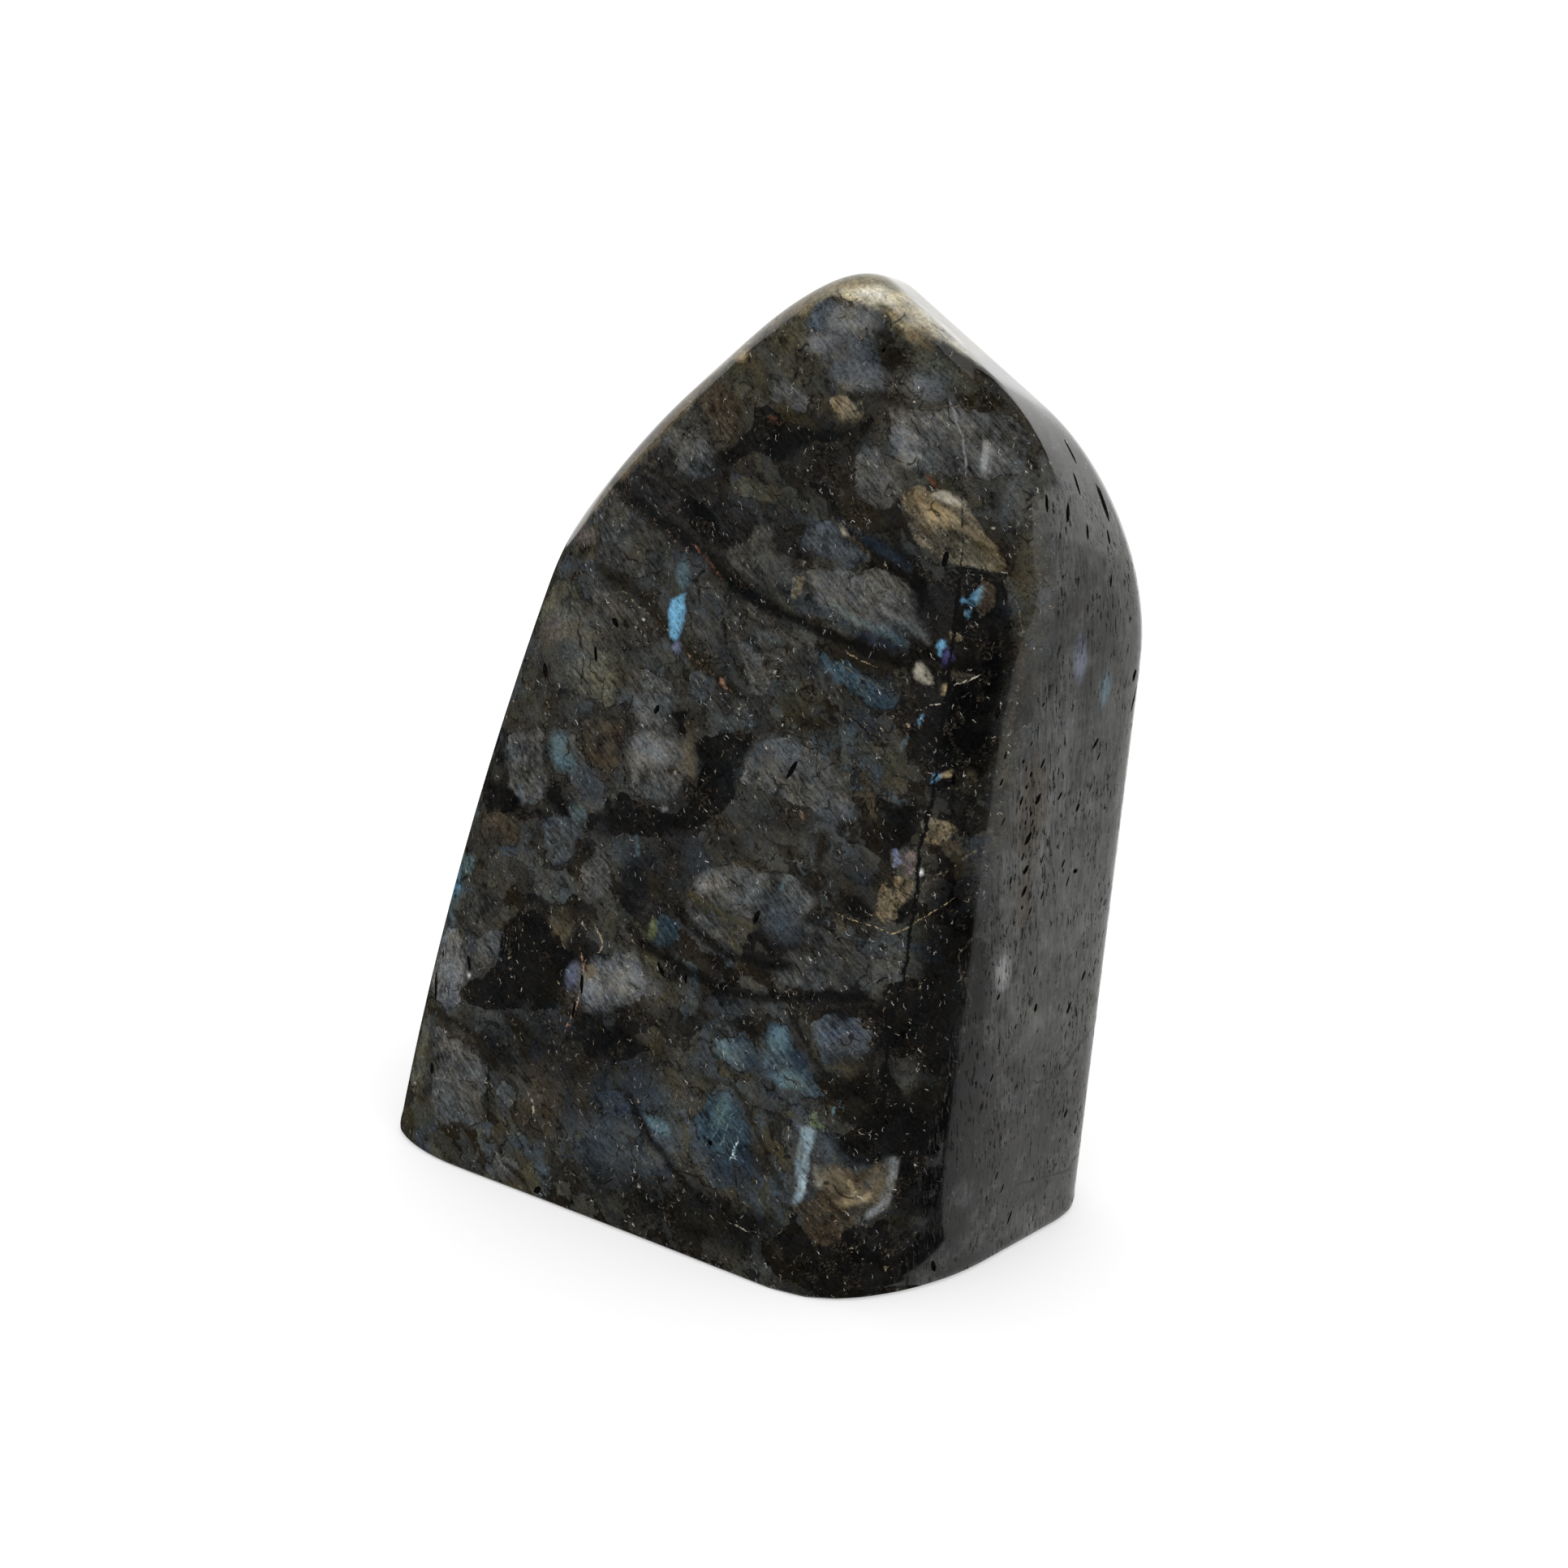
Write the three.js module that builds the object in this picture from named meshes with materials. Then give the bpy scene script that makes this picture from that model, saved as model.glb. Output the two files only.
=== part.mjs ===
// A polished labradorite slab: one natural stone that stands upright on its flat sawn foot.
// Millimetres, +Z up. The broad front face looks along -Y, and the origin is under the middle.
import * as THREE from 'three';
import { mergeVertices } from 'three/addons/utils/BufferGeometryUtils.js';

// The stone was ground on a flat wheel, so its form is a handful of flat cuts rolled into
// each other. facing is the way a cut looks, seen from above (0 front, 90 right, 180 back),
// and lean is how far it tips back from upright, in degrees. distance is how far the cut
// lies from the datum point on the foot, and rounding is the radius of its rolled edges.
const CUTS = {
  front: { facing: 0, lean: 8.8, distance: 27.1, rounding: 6.4 },
  right: { facing: 80, lean: -0.7, distance: 38.8, rounding: 17.6 },
  back: { facing: 182, lean: 1.5, distance: 31.9, rounding: 14.8 },
  lowerLeft: { facing: -75.7, lean: 4.4, distance: 59.4, rounding: 12.3 },
  upperLeft: { facing: -88.7, lean: 15.6, distance: 66.6, rounding: 12.3 },
  rightRoof: { facing: 129.6, lean: 54.4, distance: 124, rounding: 19.6 },
  leftRoof: { facing: -94.1, lean: 40.3, distance: 99, rounding: 6.1 },
  crown: { facing: 0, lean: 81.5, distance: 153, rounding: 7.8 },
};

// A second facet turns away from the right of the front face along a crisp straight crease.
const CREASE_FOOT_X = 30.3;
const CREASE_TOP_X = 27.2;
const CREASE_TOP_Z = 120;
const CREASE_TURN = 4;
const CREASE_WIDTH = 1;

// The two cuts on the left meet in a broad, hardly visible bend.
const LEFT_BEND_WIDTH = 14;

// Below the shoulder the front rolls broadly into the right side. The roll widens from
// nothing at the first x to its full radius at the second, and fades out between the two
// heights on its way up to the roof.
const BROAD_ROLL_RADIUS = 26.2;
const BROAD_ROLL_X = [0, 38];
const BROAD_ROLL_Z = [95, 140];

// The flat foot has a small bevelled arris all round.
const ARRIS = 0.7;

// The spacing of the surface: faces across, deep and up, and the column of faces' edges
// on the front that follows the crease. The front right corner of each level is drawn back
// to a share of its half depth, and the crease is looked for up to a share of its half width.
const ACROSS = 28;
const DEEP = 14;
const UP = 40;
const CREASE_COLUMN = 23;
const RIGHT_CORNER_SHARE = 0.3;
const CREASE_REACH = 0.85;

// Up to the shoulder, a level of the surface is level. Above it the levels fan upwards
// from the shoulder's middle, and the last one, which carries the cap, aims this far up.
const SHOULDER_Z = 88;
const SHOULDER_ROW = 24;
const FAN_HEIGHT = 62;

const SEARCH_REACH = 200;
const SEARCH_STEPS = 40;

const stoneMaterial = new THREE.MeshStandardMaterial({
  name: 'polished_labradorite',
  color: 0x45423e,
  roughness: 0.12,
  metalness: 0.0,
});

function direction(facing, lean) {
  const around = THREE.MathUtils.degToRad(facing);
  const up = THREE.MathUtils.degToRad(lean);
  return new THREE.Vector3(
    Math.sin(around) * Math.cos(up),
    -Math.cos(around) * Math.cos(up),
    Math.sin(up),
  );
}

function cutPlane({ facing, lean, distance }) {
  return new THREE.Plane(direction(facing, lean), -distance);
}

function pointOnPlane(plane, x, z) {
  const y = -(plane.constant + plane.normal.x * x + plane.normal.z * z) / plane.normal.y;
  return new THREE.Vector3(x, y, z);
}

const planes = Object.fromEntries(Object.entries(CUTS).map(([name, cut]) => [name, cutPlane(cut)]));

// The facet beyond the crease is the front plane, turned about the crease's own line.
function turnedFacet(front) {
  const foot = pointOnPlane(front, CREASE_FOOT_X, 0);
  const top = pointOnPlane(front, CREASE_TOP_X, CREASE_TOP_Z);
  const line = top.clone().sub(foot).normalize();
  const normal = front.normal.clone().applyAxisAngle(line, THREE.MathUtils.degToRad(CREASE_TURN));
  return new THREE.Plane().setFromNormalAndCoplanarPoint(normal, foot);
}

const facetPlane = turnedFacet(planes.front);

// The larger of two heights, with the corner between them eased over a width.
function easedMax(a, b, width) {
  const ease = Math.max(width - Math.abs(a - b), 0) / width;
  return Math.max(a, b) + (ease * ease * width) / 4;
}

function frontRounding(point) {
  const sideways = THREE.MathUtils.smoothstep(point.x, ...BROAD_ROLL_X);
  const height = 1 - THREE.MathUtils.smoothstep(point.z, ...BROAD_ROLL_Z);
  return THREE.MathUtils.lerp(CUTS.front.rounding, BROAD_ROLL_RADIUS, sideways * height);
}

function frontHeight(point) {
  const face = planes.front.distanceToPoint(point);
  return easedMax(face, facetPlane.distanceToPoint(point), CREASE_WIDTH);
}

function leftHeight(point) {
  const lower = planes.lowerLeft.distanceToPoint(point);
  return easedMax(lower, planes.upperLeft.distanceToPoint(point), LEFT_BEND_WIDTH);
}

// How far a cut presses on a point: 0 a full rounding below the cut, 1 on the cut itself.
function press(height, rounding) {
  return Math.max(0, 1 + height / rounding);
}

// The stone is solid where the presses of all its cuts stay within a unit ball, which
// rolls each pair of cuts into each other by their roundings.
function isStone(point) {
  let sum = press(frontHeight(point), frontRounding(point)) ** 2;
  sum += press(leftHeight(point), CUTS.lowerLeft.rounding) ** 2;
  for (const name of ['right', 'back', 'rightRoof', 'leftRoof', 'crown']) {
    sum += press(planes[name].distanceToPoint(point), CUTS[name].rounding) ** 2;
  }
  return sum < 1;
}

// Where a ray that starts inside the stone comes out of its surface.
function surfacePoint(origin, ray) {
  const point = new THREE.Vector3();
  let inside = 0;
  let outside = SEARCH_REACH;
  for (let step = 0; step < SEARCH_STEPS; step += 1) {
    const middle = (inside + outside) / 2;
    if (isStone(point.copy(origin).addScaledVector(ray, middle))) {
      inside = middle;
    } else {
      outside = middle;
    }
  }
  return point.copy(origin).addScaledVector(ray, inside);
}

// The middle and the half sizes of the stone's section at one height.
function sectionAt(z) {
  const datum = new THREE.Vector3(0, 0, z);
  const across = [-1, 1].map((sign) => surfacePoint(datum, new THREE.Vector3(sign, 0, 0)).x);
  const middle = new THREE.Vector3((across[0] + across[1]) / 2, 0, z);
  const deep = [-1, 1].map((sign) => surfacePoint(middle, new THREE.Vector3(0, sign, 0)).y);
  middle.y = (deep[0] + deep[1]) / 2;
  return { middle, halfAcross: (across[1] - across[0]) / 2, halfDeep: (deep[1] - deep[0]) / 2 };
}

// One level of the surface: the section that it fans out from, and how far up it aims.
function levelOf(row) {
  if (row <= SHOULDER_ROW) {
    const z = row === 0 ? 0 : THREE.MathUtils.lerp(ARRIS, SHOULDER_Z, (row - 1) / (SHOULDER_ROW - 1));
    return { ...sectionAt(z), up: 0 };
  }
  return { ...sectionAt(SHOULDER_Z), up: (FAN_HEIGHT * (row - SHOULDER_ROW)) / (UP - SHOULDER_ROW) };
}

// The point of a level that lies towards a place on a square of half size 1.
function levelPoint(level, across, deep) {
  const front = THREE.MathUtils.lerp(-1, -RIGHT_CORNER_SHARE, (across + 1) / 2);
  const back = THREE.MathUtils.lerp(front, 1, (deep + 1) / 2);
  const ray = new THREE.Vector3(across * level.halfAcross, back * level.halfDeep, level.up);
  return surfacePoint(level.middle, ray.normalize());
}

// Where along the front, from -1 at the left corner to 1 at the right, a level meets the crease.
function creasePlace(level) {
  let left = 0;
  let right = CREASE_REACH;
  for (let step = 0; step < SEARCH_STEPS; step += 1) {
    const middle = (left + right) / 2;
    const point = levelPoint(level, middle, -1);
    const beyond = facetPlane.distanceToPoint(point) > planes.front.distanceToPoint(point);
    [left, right] = beyond ? [left, middle] : [middle, right];
  }
  return left;
}

// Moves the columns of a level along it, so that one of them meets the crease on the
// front. Towards the back they return to even steps.
function spreadAcross(across, deep, level) {
  const column = (2 * CREASE_COLUMN) / ACROSS - 1;
  const spread =
    across < column
      ? THREE.MathUtils.mapLinear(across, -1, column, -1, level.crease)
      : THREE.MathUtils.mapLinear(across, column, 1, level.crease, 1);
  return THREE.MathUtils.lerp(spread, across, (deep + 1) / 2);
}

const levels = Array.from({ length: UP + 1 }, (_, row) => levelOf(row));
levels.forEach((level) => {
  level.crease = creasePlace(level);
});

// A point on the side or the cap of the stone, from its place on a box of half size 1.
function shellPoint(across, deep, row) {
  const level = levels[row];
  return levelPoint(level, spreadAcross(across, deep, level), deep);
}

// A point on the flat foot: its outline, drawn in by the arris and then towards the middle.
function footPoint(across, deep) {
  const { middle } = levels[0];
  const ring = Math.max(Math.abs(across), Math.abs(deep));
  if (ring === 0) {
    return middle.clone();
  }
  const outline = shellPoint(across / ring, deep / ring, 0);
  const inward = middle.clone().sub(outline).normalize();
  return outline.addScaledVector(inward, ARRIS).lerp(middle, 1 - ring);
}

// The stone is an evenly divided box whose every corner point is carried out to the surface.
function stoneGeometry() {
  const box = new THREE.BoxGeometry(ACROSS, DEEP, UP, ACROSS, DEEP, UP);
  box.deleteAttribute('normal');
  box.deleteAttribute('uv');
  const geometry = mergeVertices(box);
  const place = geometry.getAttribute('position');
  for (let i = 0; i < place.count; i += 1) {
    const across = (2 * place.getX(i)) / ACROSS;
    const deep = (2 * place.getY(i)) / DEEP;
    const row = place.getZ(i) + UP / 2;
    const point = row === 0 ? footPoint(across, deep) : shellPoint(across, deep, row);
    place.setXYZ(i, point.x, point.y, point.z);
  }
  return geometry;
}

// Puts the origin under the middle of the stone's box.
function centreOnFoot(geometry) {
  geometry.computeBoundingBox();
  const middle = geometry.boundingBox.getCenter(new THREE.Vector3());
  geometry.translate(-middle.x, -middle.y, 0);
  geometry.computeVertexNormals();
  return geometry;
}

const stone = new THREE.Mesh(centreOnFoot(stoneGeometry()), stoneMaterial);
stone.name = 'labradorite_slab';

const slab = new THREE.Group();
slab.name = 'polished_labradorite_slab';
slab.add(stone);

export default slab;
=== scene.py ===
"""A polished labradorite slab, standing on a pale floor in soft studio light."""
import logging
import math
import random
from collections.abc import Iterator, Sequence
from contextlib import contextmanager
from dataclasses import dataclass, field
from enum import Enum
from typing import Any

import bpy
import numpy as np
from mathutils import Matrix, Vector, noise


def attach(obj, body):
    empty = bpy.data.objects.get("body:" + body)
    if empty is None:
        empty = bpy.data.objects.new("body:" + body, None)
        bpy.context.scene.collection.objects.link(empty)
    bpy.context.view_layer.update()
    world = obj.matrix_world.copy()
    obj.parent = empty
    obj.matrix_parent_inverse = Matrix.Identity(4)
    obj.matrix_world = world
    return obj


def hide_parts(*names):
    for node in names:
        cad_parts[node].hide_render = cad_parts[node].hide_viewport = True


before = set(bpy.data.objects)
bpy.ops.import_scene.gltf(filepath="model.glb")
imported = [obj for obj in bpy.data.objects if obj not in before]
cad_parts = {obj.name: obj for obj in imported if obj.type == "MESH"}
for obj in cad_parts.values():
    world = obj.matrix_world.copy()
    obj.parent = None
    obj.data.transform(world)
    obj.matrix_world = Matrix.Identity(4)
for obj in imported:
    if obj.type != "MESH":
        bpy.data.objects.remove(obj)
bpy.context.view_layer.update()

NODE = "labradorite_slab"
MM = 0.001
PHOTO_SIZE = 1932
GOLDEN = 0.618

Pixel = tuple[float, float]
Span = tuple[float, float]
Point = tuple[float, float, float]

log = logging.getLogger("labradorite")


class Tone(Enum):
    """The colours of the stone, as seen on a screen from 0 to 255."""

    JET = (4, 4, 5)
    PITCH = (16, 16, 16)
    CHARCOAL = (33, 32, 32)
    UMBER = (32, 29, 23)
    BROWN = (58, 52, 43)
    RUST = (92, 60, 46)
    COPPER = (150, 116, 92)
    OLIVE = (62, 59, 47)
    MOSS = (96, 104, 78)
    GREY = (58, 58, 56)
    ASH = (72, 73, 72)
    STEEL = (60, 65, 70)
    MIST = (88, 90, 92)
    PEARL = (118, 119, 118)
    TAN = (104, 94, 76)
    GOLD = (164, 146, 112)
    BONE = (152, 147, 132)
    CREAM = (190, 185, 167)
    WHITE = (228, 230, 228)
    NAVY = (40, 50, 62)
    TEAL = (50, 65, 74)
    SEA = (88, 112, 120)
    SKY = (108, 162, 194)
    ICE = (192, 216, 224)
    LILAC = (96, 102, 122)
    MAUVE = (92, 84, 84)
    SAGE = (76, 76, 67)
    SAND = (124, 114, 90)
    BLUE = (62, 75, 83)
    DUN = (94, 86, 71)
    FROST = (126, 144, 152)
    VIOLET = (66, 64, 104)

    def light(self) -> np.ndarray:
        """The colour as light from 0 to 1."""
        seen = np.array(self.value, float) / 255.0
        return np.where(seen <= 0.04045, seen / 12.92, ((seen + 0.055) / 1.055) ** 2.4)


def smooth(values: np.ndarray, low: float, high: float) -> np.ndarray:
    """A soft step from 0 at low to 1 at high.

    Args:
        values: Where the step is read.
        low: The value where it starts.
        high: The value where it ends, which may lie below low.

    Returns:
        The step at each value.
    """
    part = np.clip((values - low) / (high - low), 0.0, 1.0)
    return part * part * (3.0 - 2.0 * part)


def deselect_all() -> None:
    """Leaves nothing selected and nothing active."""
    bpy.ops.object.select_all(action="DESELECT")
    bpy.context.view_layer.objects.active = None


def make_active(piece: bpy.types.Object) -> None:
    """Selects one piece alone and makes it the active one.

    Args:
        piece: The piece.
    """
    deselect_all()
    piece.select_set(True)
    bpy.context.view_layer.objects.active = piece


@contextmanager
def editing(
    piece: bpy.types.Object, kind: str = "VERT", chosen: Sequence[int] | None = None
) -> Iterator[None]:
    """Opens a piece for editing, with all or some of its mesh selected.

    Args:
        piece: The piece.
        kind: What is selected, VERT for points or FACE for faces.
        chosen: Their numbers, or nothing for all of them.

    Yields:
        Nothing, while the piece is open.
    """
    make_active(piece)
    bpy.ops.object.mode_set(mode="EDIT")
    bpy.ops.mesh.select_mode(type=kind)
    bpy.ops.mesh.select_all(action="SELECT" if chosen is None else "DESELECT")
    if chosen is not None:
        bpy.ops.object.mode_set(mode="OBJECT")
        parts = piece.data.polygons if kind == "FACE" else piece.data.vertices
        for index in chosen:
            parts[index].select = True
        bpy.ops.object.mode_set(mode="EDIT")
    yield
    bpy.ops.object.mode_set(mode="OBJECT")


def apply_modifier(piece: bpy.types.Object, kind: str, **settings: Any) -> None:
    """Adds a modifier to a piece and applies it at once.

    Args:
        piece: The piece that is changed.
        kind: The modifier's type.
        **settings: The modifier's properties.
    """
    make_active(piece)
    modifier = piece.modifiers.new(kind.title(), kind)
    for name, value in settings.items():
        setattr(modifier, name, value)
    bpy.ops.object.modifier_apply(modifier=modifier.name)


@dataclass
class View:
    """The photograph's camera: where it stands and what it sees.

    Angles are in degrees and lengths in metres. Azimuth 0 looks at the front face
    straight on, and a positive one stands further to the right.
    """

    azimuth: float = 29.1
    elevation: float = 23.7
    roll: float = 5.0
    distance: float = 0.5625
    target: Vector = field(default_factory=lambda: Vector((5.4, 0.0, 66.7)) * MM)
    lens: float = 85.0
    sensor: float = 36.0
    clip_start: float = 0.01

    def axes(self) -> tuple[Vector, Vector, Vector]:
        """Works out which way the camera is turned.

        Returns:
            The camera's own right, up and backward directions.
        """
        around, lift = math.radians(self.azimuth), math.radians(self.elevation)
        back = Vector((
            math.sin(around) * math.cos(lift),
            -math.cos(around) * math.cos(lift),
            math.sin(lift),
        ))
        level = Vector((math.cos(around), math.sin(around), 0.0))
        above = back.cross(level)
        c, s = math.cos(math.radians(self.roll)), math.sin(math.radians(self.roll))
        return level * c + above * s, above * c - level * s, back

    def eye(self) -> Vector:
        """Where the camera stands."""
        return self.target + self.axes()[2] * self.distance

    def build(self) -> None:
        """Makes the scene's camera."""
        right, up, back = self.axes()
        turn = Matrix((right, up, back)).transposed().to_4x4()
        bpy.ops.object.camera_add()
        camera = bpy.context.object
        camera.name = "photo_camera"
        camera.data.lens = self.lens
        camera.data.sensor_width = self.sensor
        camera.data.clip_start = self.clip_start
        camera.matrix_world = Matrix.Translation(self.eye()) @ turn
        bpy.context.scene.camera = camera

    def pixel_size(self) -> float:
        """The length that one pixel of the photograph covers at the stone, in metres."""
        return self.distance * self.sensor / self.lens / PHOTO_SIZE

    def pixels(self, points: np.ndarray) -> np.ndarray:
        """Finds where points appear in the photograph's square frame.

        Args:
            points: One point a row, in metres.

        Returns:
            Each point's place in pixels, from the top left corner.
        """
        right, up, back = (np.array(axis) for axis in self.axes())
        away = points - np.array(self.eye())
        depth = -(away @ back)
        scale = self.lens / self.sensor * PHOTO_SIZE / depth
        middle = PHOTO_SIZE / 2
        return np.stack([middle + away @ right * scale, middle - away @ up * scale], -1)

    def ray(self, pixel: Pixel) -> Vector:
        """Looks through a pixel of the photograph.

        Args:
            pixel: The pixel.

        Returns:
            The direction from the camera through it.
        """
        right, up, back = self.axes()
        scale = self.sensor / self.lens / PHOTO_SIZE
        x, y = (pixel[0] - PHOTO_SIZE / 2) * scale, (PHOTO_SIZE / 2 - pixel[1]) * scale
        return (right * x + up * y - back).normalized()

    def facing(self, points: np.ndarray, normals: np.ndarray) -> np.ndarray:
        """Measures how squarely each point of a surface faces the camera.

        Args:
            points: One point a row, in metres.
            normals: The surface's direction at each point.

        Returns:
            1 where a point faces the camera straight on, and less elsewhere.
        """
        towards = np.array(self.eye()) - points
        towards /= np.linalg.norm(towards, axis=1, keepdims=True)
        return (towards * normals).sum(1)


@dataclass(frozen=True)
class Card:
    """A card of the studio, from its lowest to its highest corner, in metres."""

    name: str
    low: Point
    high: Point
    glow: float = 0.0


@dataclass
class Studio:
    """A pale floor and a white room, with cards that the polished stone mirrors.

    The cards and the window of light are seen in reflections alone. A card is black
    unless it glows.
    """

    floor_size: float = 8.0
    floor_tone: float = 0.80
    floor_roughness: float = 0.9
    floor_glow: float = 0.38
    room_light: float = 1.0
    card_tone: float = 0.004
    lamp_colour: Point = (1.0, 0.99, 0.97)
    lying_size: float = 4.8
    lying_place: Point = (0.0, -2.25, 0.0005)
    mirrored_edge: tuple[Pixel, ...] = (
        (45, -22), (59, -8), (116, -7), (173, -14), (223, -30), (263, -45), (308, -62),
        (2300, -850),
    )
    cards: tuple[Card, ...] = (
        Card("card_under_right", (0.045, -2.25, 0.0002), (2.4, 2.4, 0.0003), 0.64),
        Card("card_under_left", (-2.4, -2.4, 0.0004), (-0.054, 0.26, 0.0006)),
        Card("card_under_front", (-0.054, -0.7, 0.0004), (0.045, 0.0, 0.0006)),
        Card("wall_front", (-1.3, -1.32, 0.0), (1.3, -1.30, 1.1)),
        Card("wall_left", (-1.32, -1.3, 0.0), (-1.30, 0.0, 1.1)),
        Card("wall_right_front", (1.30, -1.3, 0.0), (1.32, -0.40, 1.1)),
        Card("wall_right", (1.30, -0.40, 0.26), (1.32, 0.1, 1.1)),
        Card("wall_right_back", (1.30, 0.1, 0.36), (1.32, 1.3, 1.1)),
        Card("wall_back", (0.20, 1.30, 0.34), (1.3, 1.32, 1.1)),
        Card("ceiling_front", (-1.3, -1.3, 1.10), (1.3, -0.45, 1.12)),
        Card("ceiling_right", (0.26, -0.45, 1.10), (1.3, 1.3, 1.12)),
    )
    window_place: Vector = field(default_factory=lambda: Vector((207, -452, 283)) * MM)
    window_aim: Vector = field(default_factory=lambda: Vector((37, -8, 129)) * MM)
    window_size: tuple[float, float] = (0.05, 0.075)
    window_glow: float = 3.2

    def build(self) -> None:
        """Makes the floor, the room, the cards and the window of light."""
        self.room()
        self.floor()
        self.lying_card()
        for card in self.cards:
            self.card(card)
        self.window()

    def room(self) -> None:
        """Makes the white room around the stone."""
        world = bpy.context.scene.world or bpy.data.worlds.new("room")
        bpy.context.scene.world = world
        world.use_nodes = True
        background = world.node_tree.nodes["Background"]
        background.inputs["Color"].default_value = (1.0, 1.0, 1.0, 1.0)
        background.inputs["Strength"].default_value = self.room_light
        bpy.context.scene.view_settings.view_transform = "Standard"

    def floor(self) -> None:
        """Makes the pale floor."""
        deselect_all()
        bpy.ops.mesh.primitive_plane_add(size=self.floor_size)
        floor = bpy.context.object
        floor.name = "floor"
        white = (1.0, 1.0, 1.0)
        self.matt(floor, self.floor_tone, self.floor_roughness, white, self.floor_glow)

    def lying_card(self) -> None:
        """Makes the card on the floor in front, cut to the edge that the stone mirrors."""
        deselect_all()
        bpy.ops.mesh.primitive_plane_add(size=self.lying_size, location=self.lying_place)
        card = bpy.context.object
        card.name = "card_lying"
        with editing(card):
            for (x0, y0), (x1, y1) in zip(self.mirrored_edge, self.mirrored_edge[1:]):
                outward = Vector((y0 - y1, x1 - x0, 0.0)).normalized()
                corner = (x0 * MM, y0 * MM, 0.0)
                bpy.ops.mesh.select_all(action="SELECT")
                bpy.ops.mesh.bisect(plane_co=corner, plane_no=outward, clear_outer=True)
        self.only_mirrored(card)

    def card(self, plan: Card) -> None:
        """Makes one card.

        Args:
            plan: Its name, corners and glow.
        """
        deselect_all()
        low, high = Vector(plan.low), Vector(plan.high)
        bpy.ops.mesh.primitive_cube_add(size=1.0, location=(low + high) / 2)
        card = bpy.context.object
        card.name = plan.name
        card.scale = high - low
        self.only_mirrored(card, plan.glow)

    def window(self) -> None:
        """Makes the small window of light that the shoulder mirrors."""
        deselect_all()
        bpy.ops.mesh.primitive_plane_add(size=1.0, location=self.window_place)
        lamp = bpy.context.object
        lamp.name = "lamp_window"
        aim = self.window_aim - self.window_place
        lamp.rotation_euler = aim.to_track_quat("-Z", "Y").to_euler()
        lamp.scale = (*self.window_size, 1.0)
        self.only_mirrored(lamp, self.window_glow)

    def only_mirrored(self, card: bpy.types.Object, glow: float = 0.0) -> None:
        """Gives a card its face, and leaves it to be seen in reflections alone.

        Args:
            card: The card or lamp.
            glow: How brightly it shines, or 0 for a dark card.
        """
        card.visible_camera = False
        card.visible_diffuse = False
        card.visible_shadow = False
        card.visible_transmission = False
        self.matt(card, self.card_tone, 1.0, self.lamp_colour, glow)

    @staticmethod
    def matt(
        piece: bpy.types.Object, tone: float, roughness: float, light: Point, glow: float
    ) -> None:
        """Gives a piece of the studio a finish that mirrors nothing.

        Args:
            piece: The piece, whose name the finish takes.
            tone: Its grey, from 0 to 1.
            roughness: Its roughness.
            light: The colour of its own light.
            glow: How brightly it shines.
        """
        material = bpy.data.materials.new(piece.name)
        material.use_nodes = True
        shader = material.node_tree.nodes["Principled BSDF"]
        shader.inputs["Base Color"].default_value = (tone, tone, tone, 1.0)
        shader.inputs["Roughness"].default_value = roughness
        shader.inputs["Specular IOR Level"].default_value = 0.0
        shader.inputs["Emission Color"].default_value = (*light, 1.0)
        shader.inputs["Emission Strength"].default_value = glow
        piece.data.materials.append(material)


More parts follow.
